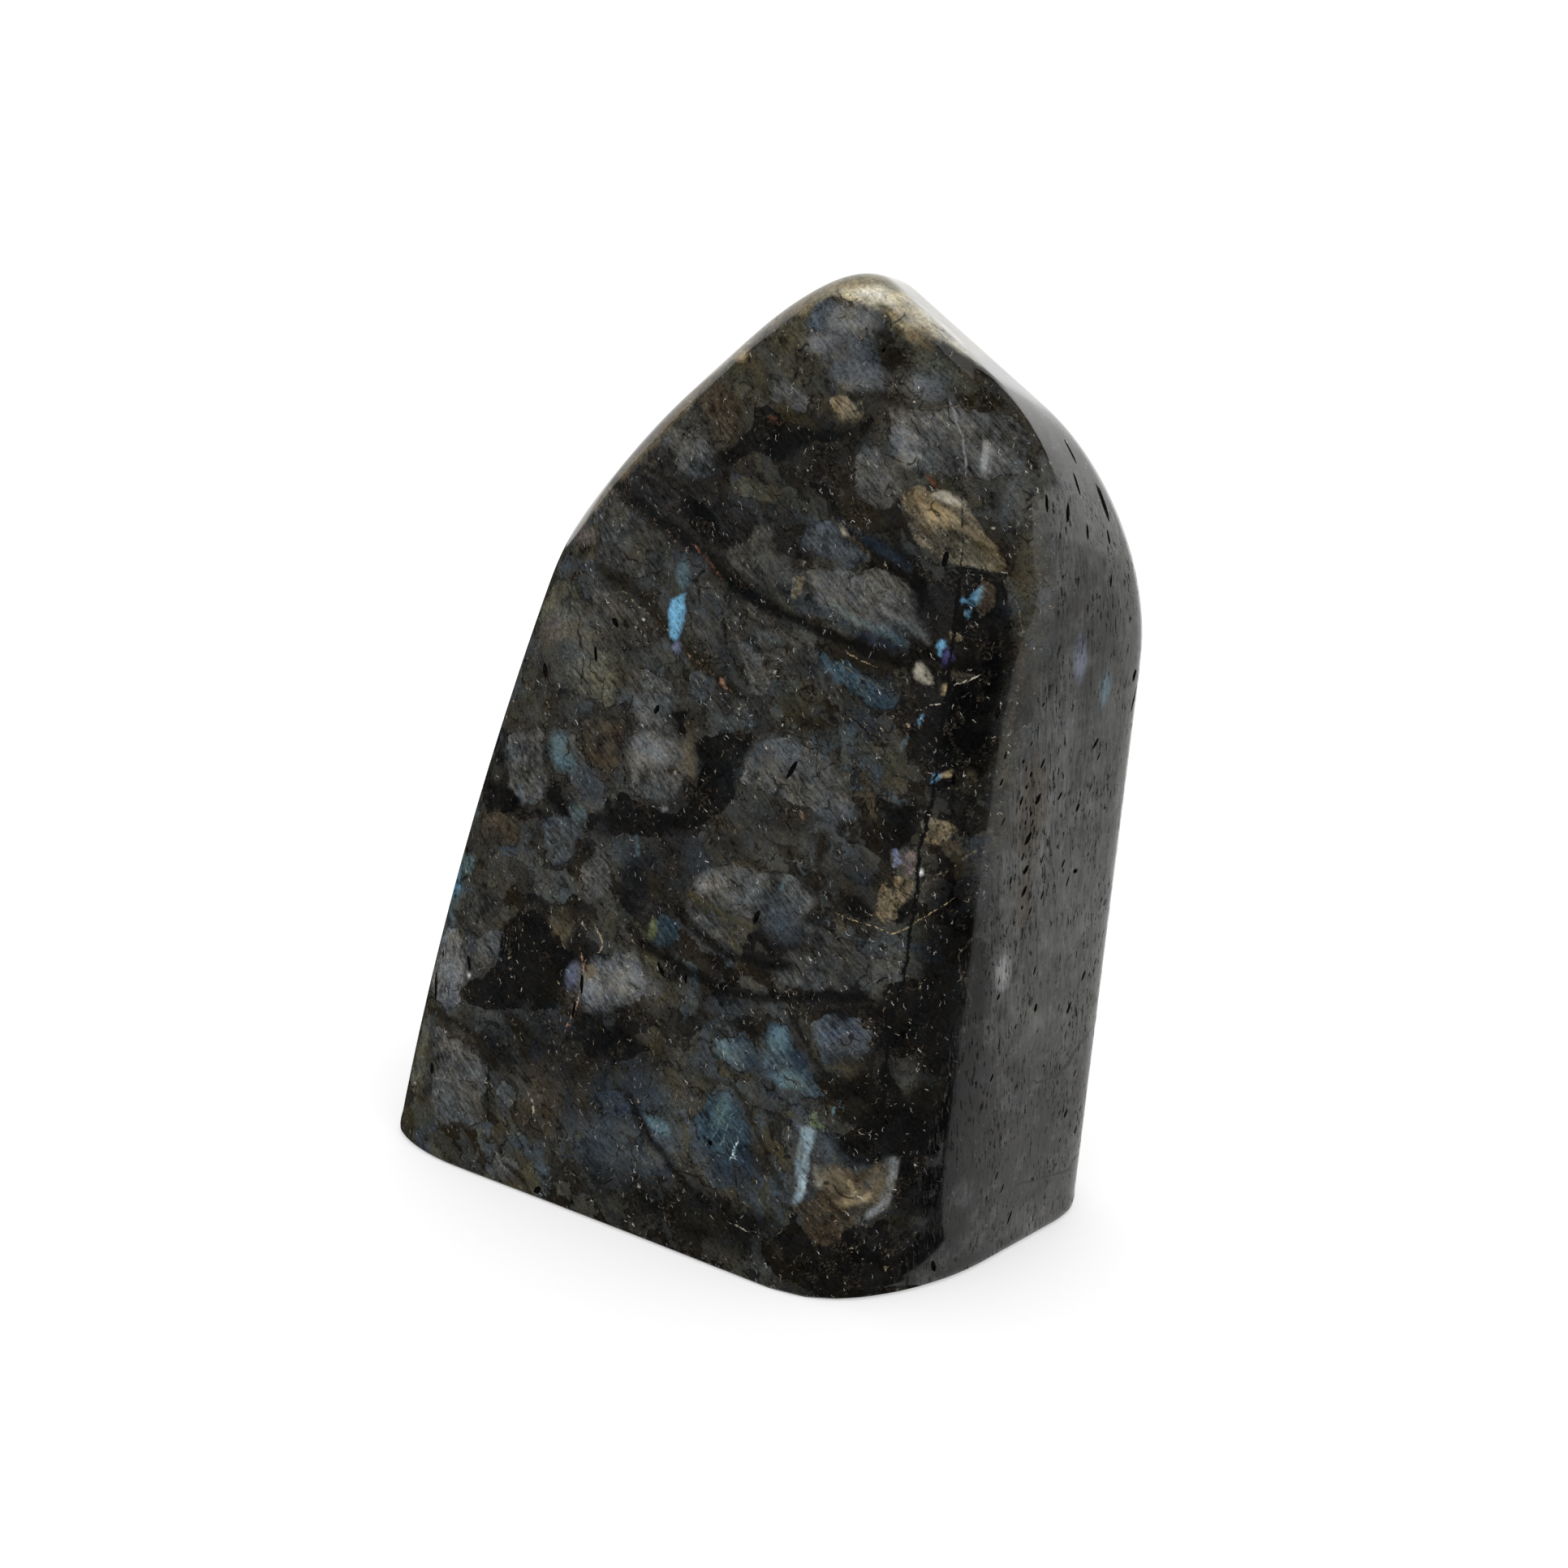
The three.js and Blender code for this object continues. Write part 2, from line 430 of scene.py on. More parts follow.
@dataclass
class Stone:
    """The stone's own mesh, worked up from the plain solid of the frame.

    Each round of refining takes the faces that turn away from the camera no further
    than its first number, and whose direction has a y below its second.
    """

    view: View
    merge_reach: float = 0.02 * MM
    pair_angle: float = math.radians(40.0)
    pair_skew: float = math.radians(50.0)
    level_play: float = 0.1 * MM
    foot_sharpness: float = 0.8
    crease_sharpness: float = 0.7
    crease_foot: Pixel = (40.4 * MM, 0.0)
    crease_top: Pixel = (37.3 * MM, 120 * MM)
    crease_reach: float = 0.6 * MM
    arris_height: float = 1.1 * MM
    edge_angle: float = math.radians(40.0)
    foot_play: float = 0.04 * MM
    rounds: tuple[tuple[float, float], ...] = ((0.15, 2.0), (0.0, -0.45))
    piece: bpy.types.Object = field(init=False)

    def build(self) -> bpy.types.Object:
        """Makes the stone, finest where the photograph shows it.

        Returns:
            The stone, with its place in its mesh.
        """
        self.copy_solid()
        self.to_quads()
        self.sharpen_edges()
        apply_modifier(self.piece, "SUBSURF", levels=1, render_levels=1)
        for turned_away, front in self.rounds:
            with editing(self.piece, "FACE", self.shown(turned_away, front)):
                bpy.ops.mesh.subdivide(number_cuts=1, smoothness=1.0)
        self.flatten_foot()
        make_active(self.piece)
        bpy.ops.object.shade_smooth_by_angle(angle=self.edge_angle)
        return self.piece

    def copy_solid(self) -> None:
        """Copies the frame's solid and merges its loose triangles."""
        make_active(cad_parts[NODE])
        bpy.ops.object.duplicate()
        self.piece = bpy.context.object
        self.piece.name = "polished_stone"
        self.piece.parent = None
        for key in list(self.piece.keys()):
            del self.piece[key]
        with editing(self.piece):
            bpy.ops.mesh.remove_doubles(threshold=self.merge_reach)

    def to_quads(self) -> None:
        """Joins the triangles of the mesh in pairs."""
        limits = {"face_threshold": self.pair_angle, "shape_threshold": self.pair_skew}
        with editing(self.piece):
            bpy.ops.mesh.tris_convert_to_quads(**limits)
            bpy.ops.mesh.normals_make_consistent(inside=False)

    def sharpen_edges(self) -> None:
        """Marks the edges of the foot and the front's crease, which stay crisp."""
        mesh = self.piece.data
        crease = mesh.attributes.new("crease_edge", "FLOAT", "EDGE")
        for edge in mesh.edges:
            ends = [mesh.vertices[v].co for v in edge.vertices]
            level = abs(ends[0].z - ends[1].z) < self.level_play
            if level and max(end.z for end in ends) < self.arris_height:
                crease.data[edge.index].value = self.foot_sharpness
            elif all(self.on_crease(end) for end in ends):
                crease.data[edge.index].value = self.crease_sharpness

    def on_crease(self, point: Vector) -> bool:
        """Tells whether a point lies on the straight crease of the front face.

        Args:
            point: The point.

        Returns:
            Whether it does.
        """
        (x0, z0), (x1, z1) = self.crease_foot, self.crease_top
        x = x0 + (x1 - x0) * (point.z - z0) / (z1 - z0)
        return point.y < 0.0 and point.z < z1 and abs(point.x - x) < self.crease_reach

    def shown(self, turned_away: float, front: float) -> list[int]:
        """Finds the faces that the photograph shows, or nearly.

        Args:
            turned_away: How far they may turn away from the camera.
            front: What the y of their directions lies below.

        Returns:
            The faces' numbers.
        """
        eye = self.view.eye()
        return [
            face.index
            for face in self.piece.data.polygons
            if face.normal.y < front
            and face.normal.dot((face.center - eye).normalized()) < turned_away
        ]

    def flatten_foot(self) -> None:
        """Brings the points of the foot back to the floor."""
        points = self.piece.data.vertices
        foot = [point.index for point in points if point.co.z < self.foot_play]
        with editing(self.piece, "VERT", foot):
            bpy.ops.transform.resize(value=(1.0, 1.0, 0.0), center_override=(0.0, 0.0, 0.0))


@dataclass(frozen=True)
class Cloud:
    """A soft oval patch, by its middle and half sizes in pixels of the photograph.

    Lean turns the long side, in degrees, down towards the right.
    """

    tone: Tone
    x: float
    y: float
    across: float
    down: float
    lean: float = 0.0
    strength: float = 0.6

    def cover(self, places: np.ndarray) -> np.ndarray:
        """Lays the patch over places.

        Args:
            places: One place a row.

        Returns:
            How much of each place it covers, from 0 to 1.
        """
        c, s = math.cos(math.radians(self.lean)), math.sin(math.radians(self.lean))
        x, y = places[:, 0] - self.x, places[:, 1] - self.y
        reach = np.hypot((x * c + y * s) / self.across, (y * c - x * s) / self.down)
        return self.strength * smooth(reach, CLOUD_REACH, 0.45)

    def corners(self) -> tuple[Pixel, ...]:
        """Two corners of a box round the patch."""
        reach = CLOUD_REACH * max(self.across, self.down) - NEAR
        return (self.x - reach, self.y - reach), (self.x + reach, self.y + reach)


@dataclass(frozen=True)
class Traced:
    """A mark along corners that were traced, in pixels of the photograph."""

    tone: Tone
    points: tuple[Pixel, ...]

    def corners(self) -> tuple[Pixel, ...]:
        """The points, which lie round or along the mark."""
        return self.points


@dataclass(frozen=True)
class Grain(Traced):
    """A patch inside an outline."""

    edge: float = 7.0
    strength: float = 0.85

    def depth(self, places: np.ndarray) -> np.ndarray:
        """Measures how far inside the outline places lie.

        Args:
            places: One place a row.

        Returns:
            The distance to the outline, which is negative outside it.
        """
        ends = np.array(self.points, float)
        starts = np.roll(ends, 1, axis=0)
        along = ends - starts
        gap = np.full(len(places), np.inf)
        inside = np.zeros(len(places), bool)
        for start, end, step in zip(starts, ends, along):
            away = places - start
            share = np.clip(away @ step / (step @ step), 0.0, 1.0)
            gap = np.minimum(gap, np.hypot(*(away - share[:, None] * step).T))
            crosses = (start[1] > places[:, 1]) != (end[1] > places[:, 1])
            level = np.where(crosses, away[:, 1] / (step[1] or 1.0), 0.0)
            inside ^= crosses & (away[:, 0] < level * step[0])
        return np.where(inside, gap, -gap)

    def cover(self, places: np.ndarray) -> np.ndarray:
        """How much of each place the patch covers, from 0 to 1."""
        return self.strength * smooth(self.depth(places), -self.edge, self.edge)


@dataclass(frozen=True)
class Line(Traced):
    """A vein, crack or band along a route."""

    width: float = 3.0
    strength: float = 0.85

    def curve(self) -> np.ndarray:
        """Makes a smooth curve through the points of the route.

        Returns:
            The curve, as one place a row.
        """
        points = np.array(self.points, float)
        if len(points) == 2:
            return points
        ends = np.vstack([2 * points[0] - points[1], points, 2 * points[-1] - points[-2]])
        parts = [
            0.5 * (2 * b + (c - a) * t + (2 * a - 5 * b + 4 * c - d) * t**2
                   + (3 * b - a - 3 * c + d) * t**3)
            for a, b, c, d in zip(ends, ends[1:], ends[2:], ends[3:])
            for t in (0.0, 0.33, 0.67)
        ]
        return np.vstack([parts, points[-1]])

    def offset(self, places: np.ndarray) -> tuple[np.ndarray, np.ndarray]:
        """Measures how far places lie from the curve.

        Args:
            places: One place a row.

        Returns:
            The distance to the curve, and the same with a sign for the side.
        """
        curve = self.curve()
        gap = np.full(len(places), np.inf)
        side = np.ones(len(places))
        for start, end in zip(curve, curve[1:]):
            step, away = end - start, places - start
            share = np.clip(away @ step / (step @ step), 0.0, 1.0)
            here = np.hypot(*(away - share[:, None] * step).T)
            nearer = here < gap
            gap[nearer] = here[nearer]
            turn = step[0] * away[:, 1] - step[1] * away[:, 0]
            side[nearer] = np.where(turn[nearer] < 0.0, -1.0, 1.0)
        return gap, gap * side

    def cover(self, places: np.ndarray) -> np.ndarray:
        """How much of each place the line covers as a soft band, from 0 to 1."""
        return self.strength * smooth(self.offset(places)[0], self.width, self.width * 0.25)


@dataclass(frozen=True)
class Slit:
    """An open pit, by its middle, length, width and lean. Its depth is a real one.

    Lean 90 points straight down the photograph.
    """

    x: float
    y: float
    length: float
    width: float
    lean: float
    depth: float = 0.8 * MM


NEAR = 26.0
CLOUD_REACH = 1.3
T = Tone
SoftMark = Cloud | Grain | Line

# The broad fields of the photographed side, under the shards.
SOFT_MARKS: tuple[SoftMark, ...] = (
    Cloud(T.OLIVE, 950, 455, 100, 60, -35, 0.7),
    Cloud(T.UMBER, 1010, 545, 90, 50, 15, 0.7),
    Cloud(T.GREY, 800, 800, 190, 260, 20),
    Cloud(T.CHARCOAL, 900, 640, 120, 80, 40, 0.7),
    Cloud(T.CHARCOAL, 1030, 570, 60, 55, 15, 0.5),
    Cloud(T.GREY, 1255, 620, 30, 34, 20, 0.8),
    Cloud(T.PITCH, 1084, 1272, 18, 30, 5, 0.7),
    Cloud(T.CHARCOAL, 745, 1030, 30, 14, 10),
    Cloud(T.OLIVE, 985, 850, 30, 50, 20),
    Cloud(T.CHARCOAL, 820, 1080, 60, 80, 0, 0.9),
    Cloud(T.GREY, 970, 1020, 90, 30, 25),
    Cloud(T.CHARCOAL, 1050, 1095, 60, 40, 10, 0.7),
    Cloud(T.PITCH, 700, 1290, 140, 50, 8, 0.75),
    Cloud(T.CHARCOAL, 720, 1340, 110, 60, 10),
    Cloud(T.STEEL, 770, 1425, 76, 44, 15),
    Cloud(T.NAVY, 770, 1350, 50, 36, 20, 0.5),
    Cloud(T.PITCH, 870, 1500, 150, 34, 18, 0.85),
    # painted dark reflection: the band just right of the crease is painted near black
    Cloud(T.JET, 1196, 900, 46, 130, 10, 0.95),
    Cloud(T.JET, 1170, 1180, 48, 150, 8, 0.95),
    Cloud(T.JET, 1140, 1420, 60, 150, 8, 0.9),
    Cloud(T.PITCH, 1070, 1570, 130, 60, -12, 0.8),
    Cloud(T.PITCH, 1080, 1350, 40, 70, 8, 0.8),
    Cloud(T.UMBER, 1180, 480, 110, 40, 35),
    Cloud(T.ASH, 1300, 640, 70, 60, 60, 0.7),
    Cloud(T.GREY, 1325, 900, 85, 420, 6, 1),
    Cloud(T.ASH, 1285, 980, 34, 150, 8, 0.7),
    Cloud(T.CHARCOAL, 1340, 790, 50, 90, 5),
    Cloud(T.CHARCOAL, 1275, 1420, 90, 130, 8, 0.9),
    Cloud(T.GREY, 1270, 1500, 40, 20, -20),
    # the strips of the roof and of the left edge: pale bands, partly the stone's own tone and partly
    # painted highlight and painted rim reflection
    Line(T.BONE, ((1050, 340), (1120, 350), (1167, 392), (1230, 448)), 9, 0.8),
    Line(T.PEARL, ((1230, 448), (1290, 505), (1340, 560)), 8, 0.6),
    Line(T.PEARL, ((1040, 338), (1003, 358), (968, 382), (935, 408), (905, 434), (880, 456)), 9, 0.9),
    Line(T.MIST, ((650, 790), (625, 860), (606, 930)), 9, 0.6),
    Line(T.SEA, ((575, 1060), (560, 1100), (546, 1150), (532, 1200)), 14, 0.75),
    Line(T.SKY, ((566, 1080), (556, 1105)), 6, 0.5),
    # the smaller patches
    Cloud(T.UMBER, 1100, 438, 18, 14, 30, 0.4),
    Cloud(T.SAGE, 1162, 456, 60, 16, 34, 0.85),
    Cloud(T.ASH, 1135, 478, 46, 24, 10, 0.9),
    Cloud(T.GREY, 850, 530, 34, 50, 30, 0.7),
    Cloud(T.TAN, 1046, 466, 16, 14, 0, 0.85),
    Cloud(T.GOLD, 912, 437, 13, 8, -30, 0.8),
    Cloud(T.BROWN, 745, 600, 30, 18, 40),
    Cloud(T.PEARL, 920, 601, 20, 10, 30, 0.5),
    Cloud(T.NAVY, 1055, 895, 30, 22, 20),
    Cloud(T.OLIVE, 1103, 962, 14, 18, 0, 0.9),
    Cloud(T.OLIVE, 1193, 966, 13, 16, 0, 0.9),
    Cloud(T.ASH, 925, 1045, 60, 14, 25),
    Cloud(T.OLIVE, 825, 1220, 30, 20, 20),
    Cloud(T.TAN, 692, 1142, 16, 24),
    Cloud(T.OLIVE, 640, 870, 20, 40, 20),
    Cloud(T.BROWN, 668, 1350, 28, 44, 10, 0.8),
    Cloud(T.STEEL, 905, 1240, 40, 22, 0, 0.7),
    Cloud(T.SEA, 812, 1386, 18, 9, 40, 0.8),
    Cloud(T.ASH, 840, 1330, 24, 60, 0, 0.4),
    Cloud(T.GREY, 1118, 1328, 16, 20, 10, 0.8),
    # the shoulder and the right side
    Line(T.BROWN, ((1262, 790), (1256, 840), (1246, 896)), 9, 0.8),
    Cloud(T.PEARL, 1238, 1197, 11, 20, 10, 0.8),
    Cloud(T.LILAC, 1331, 812, 9, 28, 6),
    Cloud(T.SEA, 1362, 850, 7, 26, 8, 0.4),
    Cloud(T.BROWN, 1272, 1000, 17, 84, 5, 0.9),
    Cloud(T.BROWN, 1262, 1110, 8, 40, 5, 0.7),
)

# The shards of feldspar, each with an edge and a dark seam of its own.
SHARDS: tuple[Grain, ...] = (
    # the head
    Grain(T.STEEL, (
        (1002, 370), (1030, 362), (1062, 372), (1086, 396), (1096, 440), (1090, 480), (1060, 478),
        (1028, 462), (1003, 430), (994, 398))),
    Grain(T.OLIVE, (
        (1000, 366), (985, 380), (960, 400), (945, 425), (960, 445), (985, 440), (1000, 430), (996, 400))),
    Grain(T.SAND, (
        (1040, 366), (1062, 354), (1100, 356), (1120, 366), (1150, 390), (1180, 420), (1202, 444),
        (1190, 452), (1165, 442), (1140, 427), (1115, 412), (1098, 402), (1090, 384), (1060, 376))),
    Grain(T.ASH, (
        (948, 470), (965, 462), (985, 470), (995, 490), (1000, 510), (985, 515), (965, 505), (950, 490))),
    Grain(T.TAN, (
        (1022, 490), (1040, 487), (1052, 500), (1076, 513), (1060, 522), (1040, 524), (1028, 510))),
    Grain(T.BROWN, (
        (858, 482), (882, 466), (915, 488), (926, 506), (912, 532), (896, 546), (880, 540), (866, 515))),
    Grain(T.ASH, (
        (1095, 508), (1130, 505), (1172, 503), (1216, 506), (1250, 512), (1272, 540), (1284, 590),
        (1262, 604), (1240, 600), (1222, 608), (1190, 600), (1165, 597), (1140, 590), (1120, 575),
        (1104, 560), (1094, 540))),
    Grain(T.ASH, (
        (1056, 548), (1088, 548), (1100, 570), (1112, 596), (1110, 622), (1096, 640), (1070, 622),
        (1052, 590))),
    # the upper left
    Grain(T.ASH, (
        (805, 545), (822, 528), (850, 526), (872, 540), (880, 560), (876, 585), (860, 598), (838, 594),
        (818, 575))),
    Grain(T.CHARCOAL, (
        (766, 578), (790, 585), (830, 600), (870, 600), (900, 620), (960, 640), (985, 650), (975, 690),
        (960, 700), (985, 720), (960, 720), (905, 715), (880, 680), (850, 660), (815, 635), (775, 612))),
    Grain(T.GREY, (
        (745, 600), (762, 598), (770, 620), (800, 640), (820, 660), (840, 678), (830, 700), (826, 720),
        (800, 715), (770, 705), (745, 700), (735, 680), (738, 650), (725, 630))),
    Grain(T.OLIVE, ((710, 655), (735, 645), (740, 670), (748, 690), (720, 700), (700, 695))),
    Grain(T.GREY, (
        (724, 712), (745, 720), (775, 745), (800, 770), (822, 795), (826, 830), (800, 815), (775, 800),
        (745, 790), (730, 760))),
    Grain(T.SAGE, (
        (690, 705), (720, 715), (725, 745), (735, 775), (735, 800), (720, 820), (700, 800), (672, 785),
        (660, 760), (675, 730))),
    Grain(T.SAGE, (
        (700, 808), (735, 802), (770, 812), (772, 850), (768, 890), (740, 880), (712, 850), (700, 830))),
    Grain(T.ASH, (
        (778, 817), (826, 837), (845, 850), (850, 880), (845, 900), (800, 895), (780, 890), (776, 860))),
    Grain(T.STEEL, ((852, 830), (868, 828), (878, 845), (872, 870), (858, 872), (850, 850))),
    Grain(T.CHARCOAL, ((884, 840), (902, 852), (908, 870), (900, 885), (884, 880))),
    Grain(T.GREY, (
        (855, 710), (880, 715), (898, 740), (895, 790), (891, 800), (870, 800), (850, 790), (848, 750))),
    Grain(T.OLIVE, (
        (898, 598), (915, 587), (935, 592), (956, 603), (964, 614), (955, 628), (938, 624), (914, 616))),
    Grain(T.GREY, (
        (905, 650), (930, 640), (955, 655), (970, 690), (968, 720), (975, 745), (950, 740), (925, 715),
        (900, 700), (890, 680))),
    # the middle
    Grain(T.STEEL, (
        (1000, 645), (1020, 640), (1045, 665), (1080, 690), (1060, 700), (1020, 695), (990, 690),
        (985, 665))),
    Grain(T.ASH, (
        (990, 700), (1020, 700), (1060, 705), (1084, 696), (1115, 718), (1131, 735), (1148, 768),
        (1158, 800), (1140, 812), (1100, 798), (1050, 772), (1005, 745))),
    Grain(T.GREY, (
        (925, 745), (960, 772), (1000, 798), (1040, 818), (1050, 845), (1050, 860), (1010, 850), (975, 830),
        (940, 800), (915, 770))),
    Grain(T.TEAL, (
        (1008, 802), (1045, 818), (1080, 840), (1125, 860), (1110, 874), (1090, 888), (1070, 880),
        (1040, 850), (1012, 825))),
    Grain(T.ASH, (
        (776, 905), (800, 897), (824, 905), (846, 914), (862, 936), (856, 966), (846, 986), (826, 1000),
        (806, 996), (786, 980), (775, 960), (773, 930))),
    Grain(T.ASH, (
        (912, 958), (925, 930), (945, 908), (975, 905), (1010, 916), (1045, 940), (1062, 965), (1070, 1000),
        (1076, 1018), (1040, 1008), (1000, 1000), (965, 985), (940, 975))),
    Grain(T.BROWN, (
        (1060, 945), (1070, 955), (1078, 985), (1084, 1010), (1090, 1040), (1098, 1065), (1085, 1060),
        (1075, 1030), (1068, 1000), (1062, 970))),
    # the middle of the left
    Grain(T.ASH, (
        (622, 905), (645, 895), (672, 900), (675, 920), (680, 950), (682, 975), (680, 998), (655, 998),
        (640, 985), (625, 970), (622, 940))),
    Grain(T.GREY, (
        (679, 915), (690, 905), (706, 905), (716, 925), (725, 945), (740, 960), (752, 975), (750, 995),
        (735, 1000), (722, 990), (705, 980), (690, 965), (684, 950))),
    Grain(T.BROWN, (
        (712, 885), (768, 885), (770, 910), (768, 945), (760, 970), (750, 972), (735, 950), (722, 930),
        (716, 905))),
    Grain(T.STEEL, (
        (668, 1010), (690, 1004), (706, 990), (722, 1006), (726, 1022), (712, 1040), (700, 1062),
        (680, 1068), (672, 1040))),
    Grain(T.BROWN, (
        (598, 1003), (625, 1003), (640, 1015), (648, 1035), (640, 1048), (600, 1046), (586, 1040))),
    Grain(T.ASH, ((713, 1066), (735, 1058), (752, 1062), (756, 1090), (752, 1112), (722, 1110))),
    Grain(T.GREY, (
        (562, 1100), (600, 1095), (628, 1108), (622, 1125), (608, 1150), (590, 1150), (572, 1135),
        (558, 1115))),
    Grain(T.ASH, (
        (592, 1150), (612, 1145), (618, 1165), (612, 1185), (604, 1200), (587, 1198), (582, 1180))),
    Grain(T.MIST, (
        (545, 1135), (565, 1145), (578, 1165), (583, 1195), (575, 1205), (570, 1220), (572, 1240),
        (560, 1245), (540, 1235), (528, 1215), (532, 1180))),
    Grain(T.ASH, (
        (846, 1090), (870, 1072), (905, 1066), (945, 1075), (985, 1080), (1008, 1112), (990, 1150),
        (960, 1166), (930, 1146), (890, 1128), (856, 1104))),
    Grain(T.ASH, (
        (850, 1114), (880, 1137), (920, 1149), (925, 1167), (900, 1167), (870, 1157), (848, 1137))),
    Grain(T.GREY, (
        (990, 1165), (1010, 1135), (1060, 1150), (1088, 1170), (1086, 1215), (1050, 1225), (1000, 1222),
        (960, 1215), (950, 1195), (970, 1180))),
    Grain(T.TEAL, (
        (799, 1162), (806, 1134), (815, 1127), (831, 1134), (840, 1152), (832, 1170), (815, 1178),
        (802, 1174))),
    Grain(T.MIST, (
        (716, 1195), (735, 1180), (760, 1175), (788, 1172), (802, 1195), (815, 1216), (806, 1238),
        (785, 1248), (760, 1242), (735, 1245), (717, 1240), (712, 1215))),
    # the foot
    Grain(T.SAGE, (
        (525, 1240), (530, 1262), (526, 1300), (524, 1340), (522, 1380), (515, 1395), (500, 1395),
        (496, 1375), (503, 1330), (512, 1285))),
    Grain(T.ASH, (
        (532, 1262), (560, 1280), (590, 1300), (600, 1320), (606, 1350), (614, 1370), (612, 1395),
        (600, 1410), (575, 1400), (550, 1395), (530, 1385), (528, 1350), (535, 1320), (532, 1290))),
    Grain(T.ASH, (
        (618, 1330), (632, 1335), (638, 1350), (630, 1375), (622, 1390), (614, 1372), (610, 1350))),
    Grain(T.ASH, (
        (612, 1418), (628, 1425), (640, 1445), (650, 1470), (625, 1462), (600, 1450), (604, 1430))),
    Grain(T.BLUE, (
        (878, 1282), (905, 1276), (930, 1285), (938, 1300), (936, 1320), (925, 1325), (905, 1320),
        (888, 1300))),
    Grain(T.BLUE, (
        (945, 1262), (970, 1255), (980, 1270), (990, 1295), (1000, 1312), (1008, 1330), (1020, 1350),
        (1010, 1360), (985, 1350), (960, 1335), (943, 1325), (940, 1300))),
    Grain(T.STEEL, (
        (1000, 1262), (1020, 1250), (1060, 1255), (1080, 1280), (1078, 1300), (1060, 1315), (1030, 1318),
        (1010, 1308))),
    Grain(T.TEAL, (
        (858, 1380), (872, 1350), (900, 1345), (910, 1360), (925, 1385), (940, 1420), (948, 1445),
        (940, 1455), (915, 1445), (890, 1435), (870, 1420), (856, 1400))),
)

